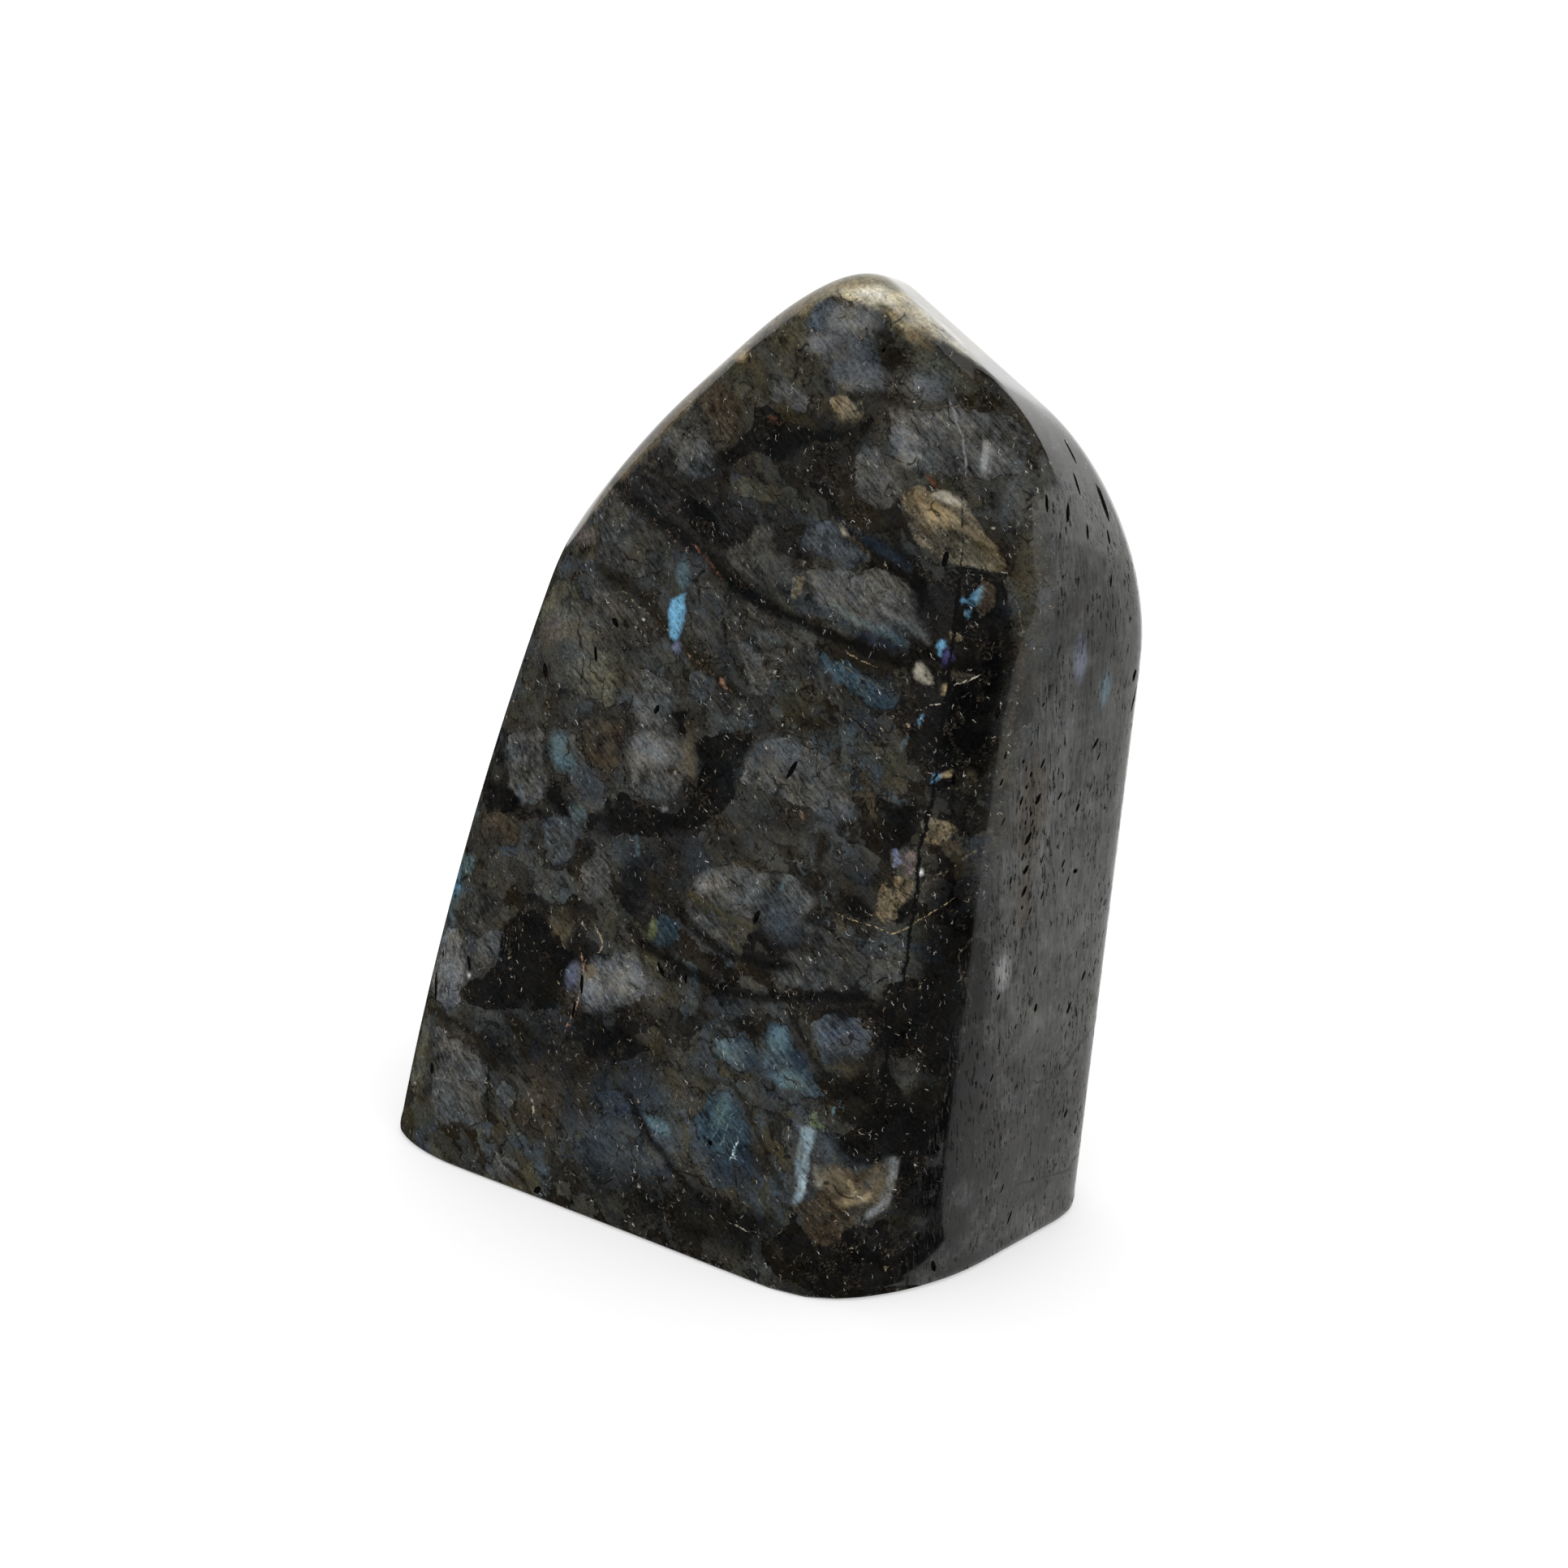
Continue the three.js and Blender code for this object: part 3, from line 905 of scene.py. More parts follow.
# The light and shade inside the shards and crystals, and the dark bands across them.
OVER_MARKS: tuple[SoftMark, ...] = (
    # the head
    # the crown's pale ridge: partly the stone's cream tone and partly a painted highlight, brightest in the
    # white spot at its top
    Grain(T.CREAM, (
        (1030, 360), (1052, 347), (1084, 348), (1118, 362), (1153, 387), (1196, 430), (1206, 450),
        (1166, 420), (1122, 392), (1084, 374), (1050, 368)), 6, 0.9),
    Cloud(T.WHITE, 1072, 360, 24, 6, 8, 0.4),
    Line(T.SAND, (
        (985, 378), (1015, 358), (1045, 345), (1080, 340), (1110, 348), (1150, 376), (1206, 430)), 15, 0.9),
    Line(T.TAN, ((1000, 364), (935, 411), (880, 462), (810, 536), (735, 621), (705, 656)), 9, 0.7),
    Cloud(T.BONE, 1122, 386, 24, 14, 35, 0.5),
    Cloud(T.BROWN, 1200, 466, 16, 8, 35),
    Cloud(T.MIST, 1138, 478, 30, 14, 10, 0.8),
    Cloud(T.PEARL, 1010, 422, 20, 14, 0, 0.7),
    Cloud(T.MIST, 1060, 464, 36, 20),
    Cloud(T.TAN, 1130, 418, 26, 9, 30, 0.75),
    Cloud(T.ASH, 1288, 600, 16, 24, 60, 0.7),
    Cloud(T.PEARL, 1050, 392, 36, 24, 0, 0.7),
    Cloud(T.MIST, 1038, 432, 28, 26, 0, 0.5),
    Cloud(T.BONE, 1120, 566, 15, 13),
    Cloud(T.PEARL, 1118, 545, 18, 26),
    Cloud(T.MIST, 1182, 535, 20, 30, -10),
    Cloud(T.ASH, 1092, 575, 18, 24, 0, 0.7),
    # painted highlight: the small bright reflection of the window on the shoulder
    Cloud(T.PEARL, 1215, 562, 9, 24, 0, 0.5),
    Line(T.UMBER, ((1120, 362), (1170, 404), (1206, 440)), 4, 0.5),
    Cloud(T.CHARCOAL, 820, 566, 14, 18),
    Cloud(T.CHARCOAL, 1128, 528, 14, 10, 30, 0.4),
    # the middle
    Line(T.NAVY, ((1034, 643), (1060, 658), (1092, 680), (1120, 700)), 9, 0.5),
    Cloud(T.MAUVE, 716, 657, 16, 14, 20, 0.7),
    Cloud(T.MAUVE, 682, 775, 14, 18),
    Cloud(T.STEEL, 870, 745, 14, 22, 20),
    Line(T.UMBER, (
        (740, 698), (775, 722), (800, 745), (822, 778), (850, 806), (885, 835), (905, 852)), 12, 0.9),
    Line(T.PITCH, ((756, 591), (800, 630), (842, 664), (875, 690), (905, 720), (950, 750)), 13),
    Line(T.PITCH, ((906, 722), (950, 750), (1020, 780), (1080, 806), (1140, 826)), 12, 0.95),
    Line(T.TAN, ((1024, 636), (1042, 656), (1075, 684)), 3, 0.4),
    Cloud(T.OLIVE, 1268, 700, 22, 70, 4),
    Cloud(T.PEARL, 804, 925, 26, 22),
    Cloud(T.SEA, 694, 930, 14, 28, -22, 0.65),
    Cloud(T.SEA, 712, 1000, 9, 16, -22, 0.4),
    Cloud(T.SEA, 842, 706, 8, 22, 5),
    Cloud(T.GREY, 612, 950, 8, 14, 0, 0.7),
    Cloud(T.ASH, 660, 880, 14, 12),
    Cloud(T.CHARCOAL, 780, 602, 16, 12, 30, 0.7),
    Cloud(T.CHARCOAL, 990, 822, 24, 16, 30, 0.7),
    Cloud(T.CHARCOAL, 932, 768, 14, 10, 30, 0.7),
    Cloud(T.CHARCOAL, 895, 808, 10, 16),
    Cloud(T.CHARCOAL, 960, 1012, 30, 12, 10, 0.7),
    Cloud(T.CHARCOAL, 900, 1040, 30, 14, 20, 0.8),
    Cloud(T.PITCH, 780, 1096, 22, 36, 0, 0.7),
    Cloud(T.UMBER, 702, 1130, 14, 12, 0, 0.5),
    Cloud(T.PITCH, 1088, 1268, 13, 34, 5, 0.85),
    # painted dark reflection: near black just right of the crease
    Cloud(T.JET, 1222, 820, 14, 44, 5, 0.9),
    Cloud(T.STEEL, 722, 966, 16, 24, -30),
    Cloud(T.ASH, 700, 790, 40, 50, 20, 0.5),
    Cloud(T.TAN, 850, 935, 9, 24, 0, 0.5),
    Cloud(T.MIST, 955, 930, 30, 14, 10),
    Cloud(T.MIST, 1040, 742, 60, 16, 38, 0.5),
    Line(T.NAVY, ((1010, 748), (1060, 780), (1104, 800)), 8, 0.6),
    Line(T.SEA, ((1024, 744), (1070, 770), (1120, 796)), 7, 0.35),
    Cloud(T.STEEL, 860, 700, 14, 18, 0, 0.7),
    Cloud(T.NAVY, 1090, 858, 24, 10, 30, 0.5),
    Line(T.PEARL, ((1062, 738), (1104, 762), (1146, 792)), 6, 0.4),
    Cloud(T.ASH, 1122, 772, 26, 14, 30, 0.5),
    Cloud(T.ASH, 960, 702, 22, 16, 30),
    Cloud(T.MIST, 1036, 684, 22, 12, 30, 0.5),
    Cloud(T.MIST, 1098, 600, 14, 18),
    Cloud(T.ASH, 1256, 618, 26, 30, 20, 0.9),
    Cloud(T.OLIVE, 522, 1372, 16, 22, 0, 0.7),
    Cloud(T.SAGE, 520, 1300, 10, 30, 0, 0.5),
    Cloud(T.ASH, 1152, 1500, 28, 20, -10, 0.8),
    Cloud(T.MIST, 802, 1218, 14, 14, 0, 0.5),
    Cloud(T.MIST, 1028, 998, 28, 14, 10, 0.8),
    Cloud(T.STEEL, 935, 932, 14, 24, 30, 0.7),
    Cloud(T.CHARCOAL, 1120, 884, 14, 10, 20, 0.8),
    Line(T.OLIVE, ((850, 1100), (890, 1128), (928, 1142)), 6, 0.8),
    Cloud(T.PEARL, 874, 1086, 18, 12, 0, 0.55),
    Cloud(T.STEEL, 966, 1140, 30, 24, 30, 0.7),
    Cloud(T.MOSS, 805, 1145, 5, 14, 15, 0.8),
    Cloud(T.PEARL, 772, 1208, 24, 16, 0, 0.7),
    Cloud(T.LILAC, 706, 1200, 9, 18, 10, 0.7),
    Cloud(T.PEARL, 560, 1196, 12, 22),
    Line(T.PITCH, (
        (775, 1140), (800, 1170), (830, 1185), (860, 1200), (890, 1220), (935, 1228), (1010, 1228),
        (1070, 1226)), 11, 0.9),
    Line(T.PITCH, ((836, 1118), (862, 1152), (890, 1172), (930, 1184), (975, 1192)), 9),
    Line(T.UMBER, ((1015, 1030), (1010, 1080), (1040, 1130), (1075, 1145)), 8, 0.7),
    # the foot
    Line(T.UMBER, ((530, 1242), (560, 1262), (590, 1282), (612, 1310)), 7),
    Line(T.UMBER, ((560, 1120), (578, 1145), (600, 1160)), 4, 0.7),
    Line(T.PITCH, ((775, 1350), (800, 1400), (835, 1450), (872, 1482)), 9, 0.8),
    Line(T.UMBER, ((870, 1330), (905, 1340), (930, 1385), (948, 1430), (962, 1466)), 6, 0.8),
    Line(T.UMBER, ((612, 1418), (640, 1450), (656, 1474)), 4, 0.8),
    Cloud(T.UMBER, 934, 1430, 10, 20, -25, 0.8),
    Cloud(T.SEA, 958, 1280, 12, 20, -15),
    Cloud(T.SEA, 970, 1332, 18, 9, 20),
    Cloud(T.NAVY, 985, 1306, 14, 10, 40),
    Cloud(T.LILAC, 1040, 1278, 26, 12, 0, 0.2),
    Cloud(T.CHARCOAL, 1046, 1306, 30, 10, -5, 0.5),
    Cloud(T.SEA, 888, 1292, 10, 14, 0, 0.4),
    Cloud(T.NAVY, 925, 1312, 14, 12, 30),
    Cloud(T.SEA, 886, 1372, 12, 26, 15, 0.55),
    Cloud(T.NAVY, 905, 1440, 26, 26, 30, 0.8),
    Cloud(T.PITCH, 1040, 1342, 36, 16, 10, 0.8),
    Line(T.PITCH, ((975, 1250), (995, 1290), (1015, 1325), (1030, 1350), (1060, 1370)), 5),
    # inside the golden crystal and the lens below it
    Cloud(T.TAN, 1140, 620, 22, 14, 30),
    Cloud(T.GOLD, 1158, 636, 28, 13, 24, 0.7),
    Line(T.UMBER, ((1116, 636), (1142, 656), (1176, 678)), 6, 0.6),
    Cloud(T.OLIVE, 1208, 682, 34, 15, 35, 0.85),
    Line(T.TAN, ((1198, 640), (1216, 664), (1236, 692)), 3, 0.5),
    Cloud(T.UMBER, 1176, 660, 12, 8, 30),
    Cloud(T.STEEL, 1014, 1416, 22, 24, 0, 0.85),
    Line(T.STEEL, ((1000, 1400), (998, 1440), (996, 1476)), 9, 0.6),
    # the pale slivers at the lens's left and right edges are painted flashes of light
    Line(T.FROST, ((990, 1392), (985, 1430), (983, 1478)), 6, 0.7),
    Cloud(T.TAN, 1026, 1456, 24, 20, 0, 0.75),
    Cloud(T.GOLD, 1052, 1478, 22, 9, -20, 0.7),
    Cloud(T.TAN, 1082, 1460, 16, 24, 10),
    Line(T.PEARL, ((1101, 1434), (1097, 1462), (1088, 1484), (1072, 1498)), 9),
    Line(T.BONE, ((1008, 1438), (1006, 1464)), 4, 0.6),
    Line(T.UMBER, ((1002, 1462), (1024, 1484), (1040, 1500)), 6, 0.7),
    Cloud(T.UMBER, 1008, 1518, 18, 11, 30, 0.35),
)

# Black gaps between the crystals, with crisp edges.
GAPS = tuple(Grain(T.PITCH, outline) for outline in (
    (
        (880, 578), (884, 556), (905, 548), (922, 528), (930, 504), (948, 500), (962, 515), (988, 528),
        (1020, 528), (1046, 524), (1076, 513), (1070, 534), (1040, 545), (1000, 545), (985, 562),
        (962, 572), (930, 556), (912, 566), (896, 582)),
    ((998, 592), (1020, 600), (1030, 618), (1026, 632), (1012, 612), (996, 600)),
    (
        (1043, 652), (1070, 662), (1100, 668), (1127, 684), (1137, 708), (1152, 745), (1150, 766),
        (1130, 738), (1112, 712), (1080, 690), (1054, 672)),
    (
        (858, 912), (880, 905), (908, 902), (925, 906), (928, 925), (918, 945), (908, 960), (905, 985),
        (890, 1000), (872, 1010), (850, 1020), (830, 1030), (800, 1030), (770, 1025), (745, 1030),
        (724, 1020), (726, 1000), (745, 995), (752, 985), (762, 975), (775, 980), (790, 990), (812, 998),
        (835, 1003), (850, 990), (858, 965), (864, 940)),
    ((820, 880), (835, 872), (846, 876), (846, 890), (842, 908), (834, 905), (832, 890), (822, 888)),
    (
        (628, 1128), (640, 1122), (660, 1125), (680, 1140), (690, 1160), (705, 1175), (712, 1190),
        (700, 1215), (700, 1240), (660, 1245), (600, 1243), (580, 1240), (570, 1225), (578, 1210),
        (600, 1202), (612, 1190), (616, 1165), (620, 1145)),
    (
        (612, 905), (620, 910), (624, 930), (626, 960), (640, 990), (650, 1000), (600, 1002), (600, 985),
        (606, 950)),
    (
        (1060, 1370), (1100, 1330), (1130, 1360), (1170, 1380), (1160, 1460), (1110, 1470), (1106, 1430),
        (1070, 1410)),
    (
        (1060, 1240), (1100, 1215), (1140, 1200), (1170, 1240), (1180, 1310), (1150, 1330), (1132, 1300),
        (1096, 1300), (1086, 1262)),
    ((676, 965), (690, 975), (700, 995), (705, 1005), (680, 1006), (640, 1005), (652, 999), (678, 996)),
    (
        (1080, 978), (1095, 988), (1120, 990), (1134, 1002), (1128, 1030), (1112, 1040), (1100, 1048),
        (1092, 1062), (1086, 1040), (1084, 1010)),
    ((1102, 1108), (1118, 1116), (1128, 1104), (1132, 1120), (1120, 1138), (1104, 1140), (1096, 1128)),
    (
        (1172, 696), (1200, 700), (1225, 704), (1240, 692), (1248, 700), (1236, 714), (1210, 712),
        (1180, 706)),
    ((1085, 1306), (1097, 1312), (1100, 1335), (1092, 1348), (1084, 1338)),
    ((1040, 1100), (1064, 1106), (1078, 1122), (1074, 1136), (1050, 1128), (1034, 1116)),
    (
        (1196, 716), (1240, 716), (1250, 770), (1246, 830), (1214, 850), (1196, 800), (1176, 790),
        (1180, 730)),
    (
        (1003, 1392), (1040, 1398), (1078, 1380), (1100, 1330), (1110, 1400), (1100, 1426), (1052, 1442),
        (1030, 1420)),
    ((1018, 1028), (1024, 1046), (1012, 1062), (1008, 1044)),
    ((700, 1276), (760, 1262), (800, 1290), (770, 1310), (726, 1300)),
    ((845, 606), (872, 622), (888, 650), (872, 668), (850, 650), (836, 625)),
))

# Single crystals with crisp edges.
CRYSTALS: tuple[Grain, ...] = (
    Grain(T.DUN, (
        (1112, 607), (1130, 598), (1150, 607), (1190, 616), (1204, 641), (1219, 664), (1241, 694),
        (1242, 706), (1220, 704), (1183, 697), (1152, 687), (1124, 664), (1115, 630))),
    Grain(T.BROWN, (
        (992, 1385), (986, 1434), (978, 1471), (977, 1486), (990, 1512), (1002, 1538), (1026, 1532),
        (1056, 1504), (1093, 1477), (1102, 1431), (1075, 1434), (1053, 1446), (1034, 1434), (1026, 1412),
        (1001, 1388))),
    Grain(T.TAN, ((972, 712), (980, 706), (993, 712), (990, 724), (984, 738), (976, 736), (977, 722))),
    Grain(T.ASH, (
        (907, 783), (927, 799), (930, 804), (962, 804), (964, 812), (953, 831), (944, 855), (930, 857),
        (924, 844), (918, 821), (911, 802))),
    Grain(T.GREY, ((902, 750), (909, 753), (911, 770), (908, 785), (903, 770))),
    Grain(T.GREY, ((928, 912), (944, 902), (950, 904), (938, 912), (930, 920))),
    Grain(T.MOSS, ((994, 1389), (1002, 1368), (1010, 1363), (1007, 1378), (1018, 1394))),
    Grain(T.TAN, (
        (1079, 1122), (1084, 1095), (1090, 1086), (1100, 1100), (1105, 1128), (1096, 1143), (1086, 1138))),
    Grain(T.LILAC, ((1099, 1049), (1104, 1044), (1111, 1050), (1108, 1066), (1101, 1073))),
    Grain(T.MAUVE, ((1112, 1056), (1122, 1041), (1130, 1052), (1128, 1075), (1116, 1084))),
    Grain(T.TAN, ((1101, 1082), (1118, 1080), (1125, 1090), (1114, 1112), (1106, 1119))),
    Grain(T.TAN, (
        (1135, 1014), (1150, 1008), (1166, 1012), (1182, 1022), (1170, 1034), (1150, 1041), (1138, 1034))),
    Grain(T.BROWN, ((1159, 1040), (1175, 1034), (1190, 1040), (1184, 1052), (1166, 1053))),
    Grain(T.BROWN, ((1170, 818), (1180, 826), (1201, 834), (1186, 843), (1174, 838))),
    Grain(T.TAN, ((1168, 776), (1184, 780), (1184, 792), (1172, 790))),
    Grain(T.BROWN, ((1208, 716), (1226, 718), (1226, 748), (1210, 762), (1200, 745))),
    Grain(T.BROWN, ((880, 1004), (893, 1000), (894, 1026), (882, 1024))),
    Grain(T.ASH, ((990, 1136), (1004, 1140), (1002, 1152), (992, 1150))),
)

# Painted glints on top of the crystals: the flashes and sparkles of light, with a few rusty and pale flecks
# of the stone's own colour.
GLINTS: tuple[Grain, ...] = (
    Grain(T.SKY, ((827, 738), (846, 730), (845, 750), (841, 775), (836, 790), (824, 786), (824, 765))),
    Grain(T.LILAC, ((829, 792), (836, 788), (840, 800), (838, 808), (828, 803))),
    Grain(T.SKY, ((1155, 791), (1161, 788), (1166, 792), (1164, 802), (1158, 810), (1154, 802))),
    Grain(T.VIOLET, ((1164, 796), (1174, 801), (1178, 812), (1170, 820), (1160, 820), (1160, 810))),
    Grain(T.SKY, ((1184, 737), (1190, 735), (1191, 742), (1186, 745))),
    Grain(T.SKY, ((1189, 752), (1196, 749), (1194, 762), (1190, 760))),
    Grain(T.SKY, ((1197, 736), (1204, 726), (1204, 738), (1198, 750))),
    Grain(T.SEA, ((1206, 722), (1213, 718), (1212, 740), (1206, 746))),
    Grain(T.BONE, (
        (1123, 828), (1130, 812), (1140, 818), (1150, 835), (1153, 845), (1138, 842), (1128, 837))),
    Grain(T.GOLD, ((1157, 845), (1166, 842), (1167, 855), (1159, 856))),
    Grain(T.FROST, (
        (992, 1386), (1005, 1390), (1003, 1408), (997, 1430), (993, 1456), (991, 1478), (979, 1484),
        (983, 1452), (988, 1425))),
    Grain(T.ICE, ((988, 1432), (995, 1434), (994, 1456), (991, 1476), (980, 1480), (983, 1456))),
    Grain(T.GOLD, ((1044, 1452), (1049, 1450), (1054, 1464), (1060, 1476), (1056, 1480), (1048, 1468))),
    Grain(T.BONE, (
        (1146, 606), (1160, 603), (1178, 610), (1192, 618), (1192, 626), (1170, 621), (1150, 616))),
    Grain(T.TAN, ((1176, 646), (1196, 645), (1215, 664), (1206, 668), (1188, 659))),
    Grain(T.BONE, ((1032, 641), (1040, 648), (1047, 660), (1040, 660))),
    Grain(T.SKY, ((1134, 878), (1138, 880), (1134, 896), (1131, 896))),
    Grain(T.SEA, ((1117, 905), (1120, 906), (1115, 920), (1110, 929), (1111, 918))),
    Grain(T.SEA, ((968, 1080), (973, 1082), (966, 1094), (958, 1104), (960, 1094))),
    Grain(T.WHITE, ((1131, 1072), (1137, 1070), (1137, 1078), (1132, 1080))),
    Grain(T.WHITE, ((576, 1199), (581, 1199), (581, 1204), (577, 1205))),
    Grain(T.PEARL, ((814, 993), (822, 992), (824, 998), (816, 1000))),
    Grain(T.SKY, ((1150, 952), (1160, 954), (1154, 964), (1148, 966))),
    Grain(T.GOLD, ((1160, 952), (1174, 949), (1172, 956), (1160, 958))),
    Grain(T.RUST, ((1139, 586), (1147, 584), (1150, 592), (1159, 599), (1150, 601), (1143, 593))),
    Grain(T.RUST, ((943, 512), (955, 514), (961, 524), (955, 523), (948, 517))),
    Grain(T.COPPER, ((887, 836), (891, 836), (899, 850), (896, 850), (889, 843))),
    Grain(T.COPPER, ((986, 1002), (990, 1002), (990, 1010), (987, 1009))),
    Grain(T.TAN, ((721, 1190), (731, 1187), (737, 1195), (735, 1204), (726, 1208), (722, 1204))),
    Grain(T.SEA, ((783, 1030), (787, 1030), (788, 1044), (786, 1056), (783, 1055))),
    Grain(T.GOLD, ((906, 440), (915, 432), (922, 430), (920, 438), (908, 446))),
    Grain(T.SKY, ((1364, 832), (1368, 838), (1363, 862), (1357, 870), (1359, 855))),
    Grain(T.SEA, ((1269, 893), (1272, 896), (1268, 912), (1265, 910))),
    Grain(T.TAN, ((1050, 1462), (1062, 1452), (1066, 1470), (1058, 1488), (1050, 1480))),
    Grain(T.BONE, ((1254, 780), (1260, 776), (1260, 784))),
    Grain(T.CREAM, ((1246, 1238), (1252, 1240), (1254, 1254), (1249, 1252))),
    Grain(T.WHITE, ((1268, 1495), (1273, 1498), (1270, 1522), (1266, 1516))),
)

# Thin veins and cracks; the last set is the front's crease, with its painted dark reflection and a painted
# highlight at its top. Each set is kept apart from the others, so that veins may cross.
VEINS: tuple[tuple[Line, ...], ...] = (
    (
        Line(T.TAN, (
            (1078, 512), (1130, 504), (1176, 501), (1216, 505), (1253, 509), (1297, 530), (1318, 545),
        ), 1.8, 0.5),
        Line(T.COPPER, ((800, 636), (818, 650), (838, 675)), 4, 0.6),
        Line(T.RUST, ((856, 674), (872, 690), (886, 706)), 5),
        Line(T.GOLD, ((758, 718), (781, 742), (809, 764), (822, 777)), 2.4, 0.5),
        Line(T.COPPER, ((846, 805), (886, 837), (902, 852)), 3, 0.5),
        Line(T.TAN, ((1018, 806), (1052, 829), (1118, 857), (1150, 858)), 2.6, 0.6),
        Line(T.PITCH, ((773, 879), (769, 911), (768, 952), (771, 965)), 3.4),
        Line(T.PITCH, ((674, 920), (683, 955), (685, 978))),
        Line(T.PITCH, ((890, 752), (893, 790), (902, 810), (915, 835)), 5),
        Line(T.UMBER, ((943, 1230), (975, 1249), (990, 1284), (1013, 1322), (1038, 1354), (1072, 1379)), 6),
        Line(T.GOLD, (
            (1032, 1127), (1072, 1139), (1095, 1150), (1118, 1145), (1135, 1133), (1170, 1110)), 2),
        Line(T.OLIVE, ((938, 1235), (939, 1290), (940, 1320)), 3, 0.5),
        Line(T.TAN, ((1236, 687), (1247, 716), (1253, 748), (1259, 773)), 2, 0.6),
        Line(T.COPPER, ((716, 1176), (718, 1200)), 4),
        Line(T.COPPER, ((712, 1226), (706, 1250), (700, 1262)), 5),
        Line(T.SEA, ((900, 1352), (888, 1376), (880, 1402))),
        Line(T.ICE, ((908, 1408), (903, 1424)), 4),
        Line(T.SEA, ((1030, 1356), (1026, 1378)), 5),
        Line(T.BONE, ((905, 1508), (918, 1514), (930, 1518)), 2),
    ),
    (
        Line(T.TAN, ((1135, 1092), (1170, 1072), (1184, 1060), (1207, 1047)), 6, 0.6),
        Line(T.PEARL, ((1089, 1150), (1091, 1176), (1097, 1202), (1095, 1228)), 4, 0.6),
        Line(T.GOLD, ((1044, 806), (1058, 812), (1072, 820)), 2.4),
        Line(T.TAN, ((984, 588), (1005, 612), (1043, 658)), 1.8, 0.4),
        Line(T.TAN, ((1092, 1228), (1088, 1262), (1096, 1300)), 2.4, 0.5),
        Line(T.SEA, ((902, 1372), (894, 1394), (890, 1412)), 2.6),
        Line(T.CREAM, ((1136, 874), (1150, 868), (1160, 866)), 1.8, 0.7),
        Line(T.CREAM, ((1182, 842), (1190, 838), (1202, 833)), 2.2),
        Line(T.JET, ((1352, 1258), (1332, 1287), (1304, 1324), (1277, 1333)), 5, 1.9),
        Line(T.JET, ((1322, 1439), (1292, 1449), (1258, 1458)), 4, 1.9),
        Line(T.UMBER, ((1003, 753), (1006, 744), (1016, 742), (1030, 750))),
        Line(T.BONE, ((650, 1348), (656, 1362), (658, 1372)), 2.6),
        Line(T.TAN, ((1008, 1484), (1020, 1492), (1040, 1508)), 2.4),
        Line(T.BROWN, ((1204, 1150), (1182, 1180), (1196, 1230))),
        Line(T.GOLD, ((735, 1146), (742, 1160), (738, 1172)), 2.4),
    ),
    (
        # the crease: its dark line is a painted dark reflection, and the pale streak at its top is a
        # painted highlight
        Line(T.UMBER, ((1186, 604), (1187, 660), (1183, 700)), 3.4, 1),
        Line(T.PITCH, (
            (1183, 716), (1171, 816), (1158, 909), (1150, 975), (1135, 1038), (1127, 1110), (1112, 1210),
            (1099, 1250), (1090, 1330), (1084, 1400)), 7, 1.7),
        Line(T.PEARL, ((1171, 498), (1186, 542), (1191, 582)), 4, 1.2),
    ),
)

# The pits that the photograph shows one by one.
SLITS: tuple[Slit, ...] = (
    Slit(672, 826, 18, 8, 80), Slit(758, 767, 14, 7, 60), Slit(734, 806, 20, 5, 95),
    Slit(809, 874, 13, 6, -50), Slit(976, 948, 28, 6, -50), Slit(966, 958, 10, 6, 20),
    Slit(932, 1130, 20, 7, -55), Slit(546, 1175, 11, 4, 100), Slit(578, 1186, 20, 5, 85),
    Slit(537, 1215, 40, 6, 85), Slit(532, 1316, 16, 6, 100), Slit(529, 1350, 46, 4, 95),
    Slit(814, 1194, 20, 7, 70), Slit(820, 1210, 14, 7, 90), Slit(845, 1206, 13, 4, 100),
    Slit(662, 1466, 13, 8, -30), Slit(1089, 431, 7, 4, -60), Slit(1165, 689, 20, 8, -70),
    Slit(717, 1212, 26, 5, 100), Slit(707, 1244, 24, 4, 110), Slit(1359, 618, 50, 11, 64),
    Slit(1319, 556, 34, 7, 74), Slit(1327, 596, 30, 6, 78), Slit(1316, 632, 24, 6, 92),
    Slit(1340, 655, 20, 5, 85), Slit(1366, 662, 18, 6, 72), Slit(1302, 657, 28, 5, 94),
    Slit(1327, 665, 26, 4, 92), Slit(1290, 620, 22, 4, 80), Slit(1369, 716, 16, 4, 90),
    Slit(1279, 985, 16, 6, -70), Slit(1306, 981, 11, 4, -60), Slit(1328, 995, 12, 5, 95),
    Slit(1267, 1033, 18, 6, -70), Slit(1264, 1072, 14, 6, -65), Slit(1310, 1064, 11, 4, -80),
    Slit(1325, 1073, 9, 6, 20), Slit(1335, 1202, 15, 5, -80), Slit(1317, 1242, 18, 6, -80),
    Slit(1276, 1242, 12, 6, 80), Slit(1325, 1392, 13, 5, -80), Slit(1262, 1098, 16, 5, -75),
    Slit(1313, 1372, 14, 5, -75), Slit(1222, 1328, 12, 4, -80), Slit(1398, 832, 16, 10, 100, 1.2 * MM),
    Slit(1397, 862, 34, 7, 95), Slit(875, 1408, 8, 6, 90), Slit(1150, 1560, 18, 8, 60),
    Slit(1244, 1500, 20, 4, 100), Slit(1350, 916, 16, 5, -55),
)


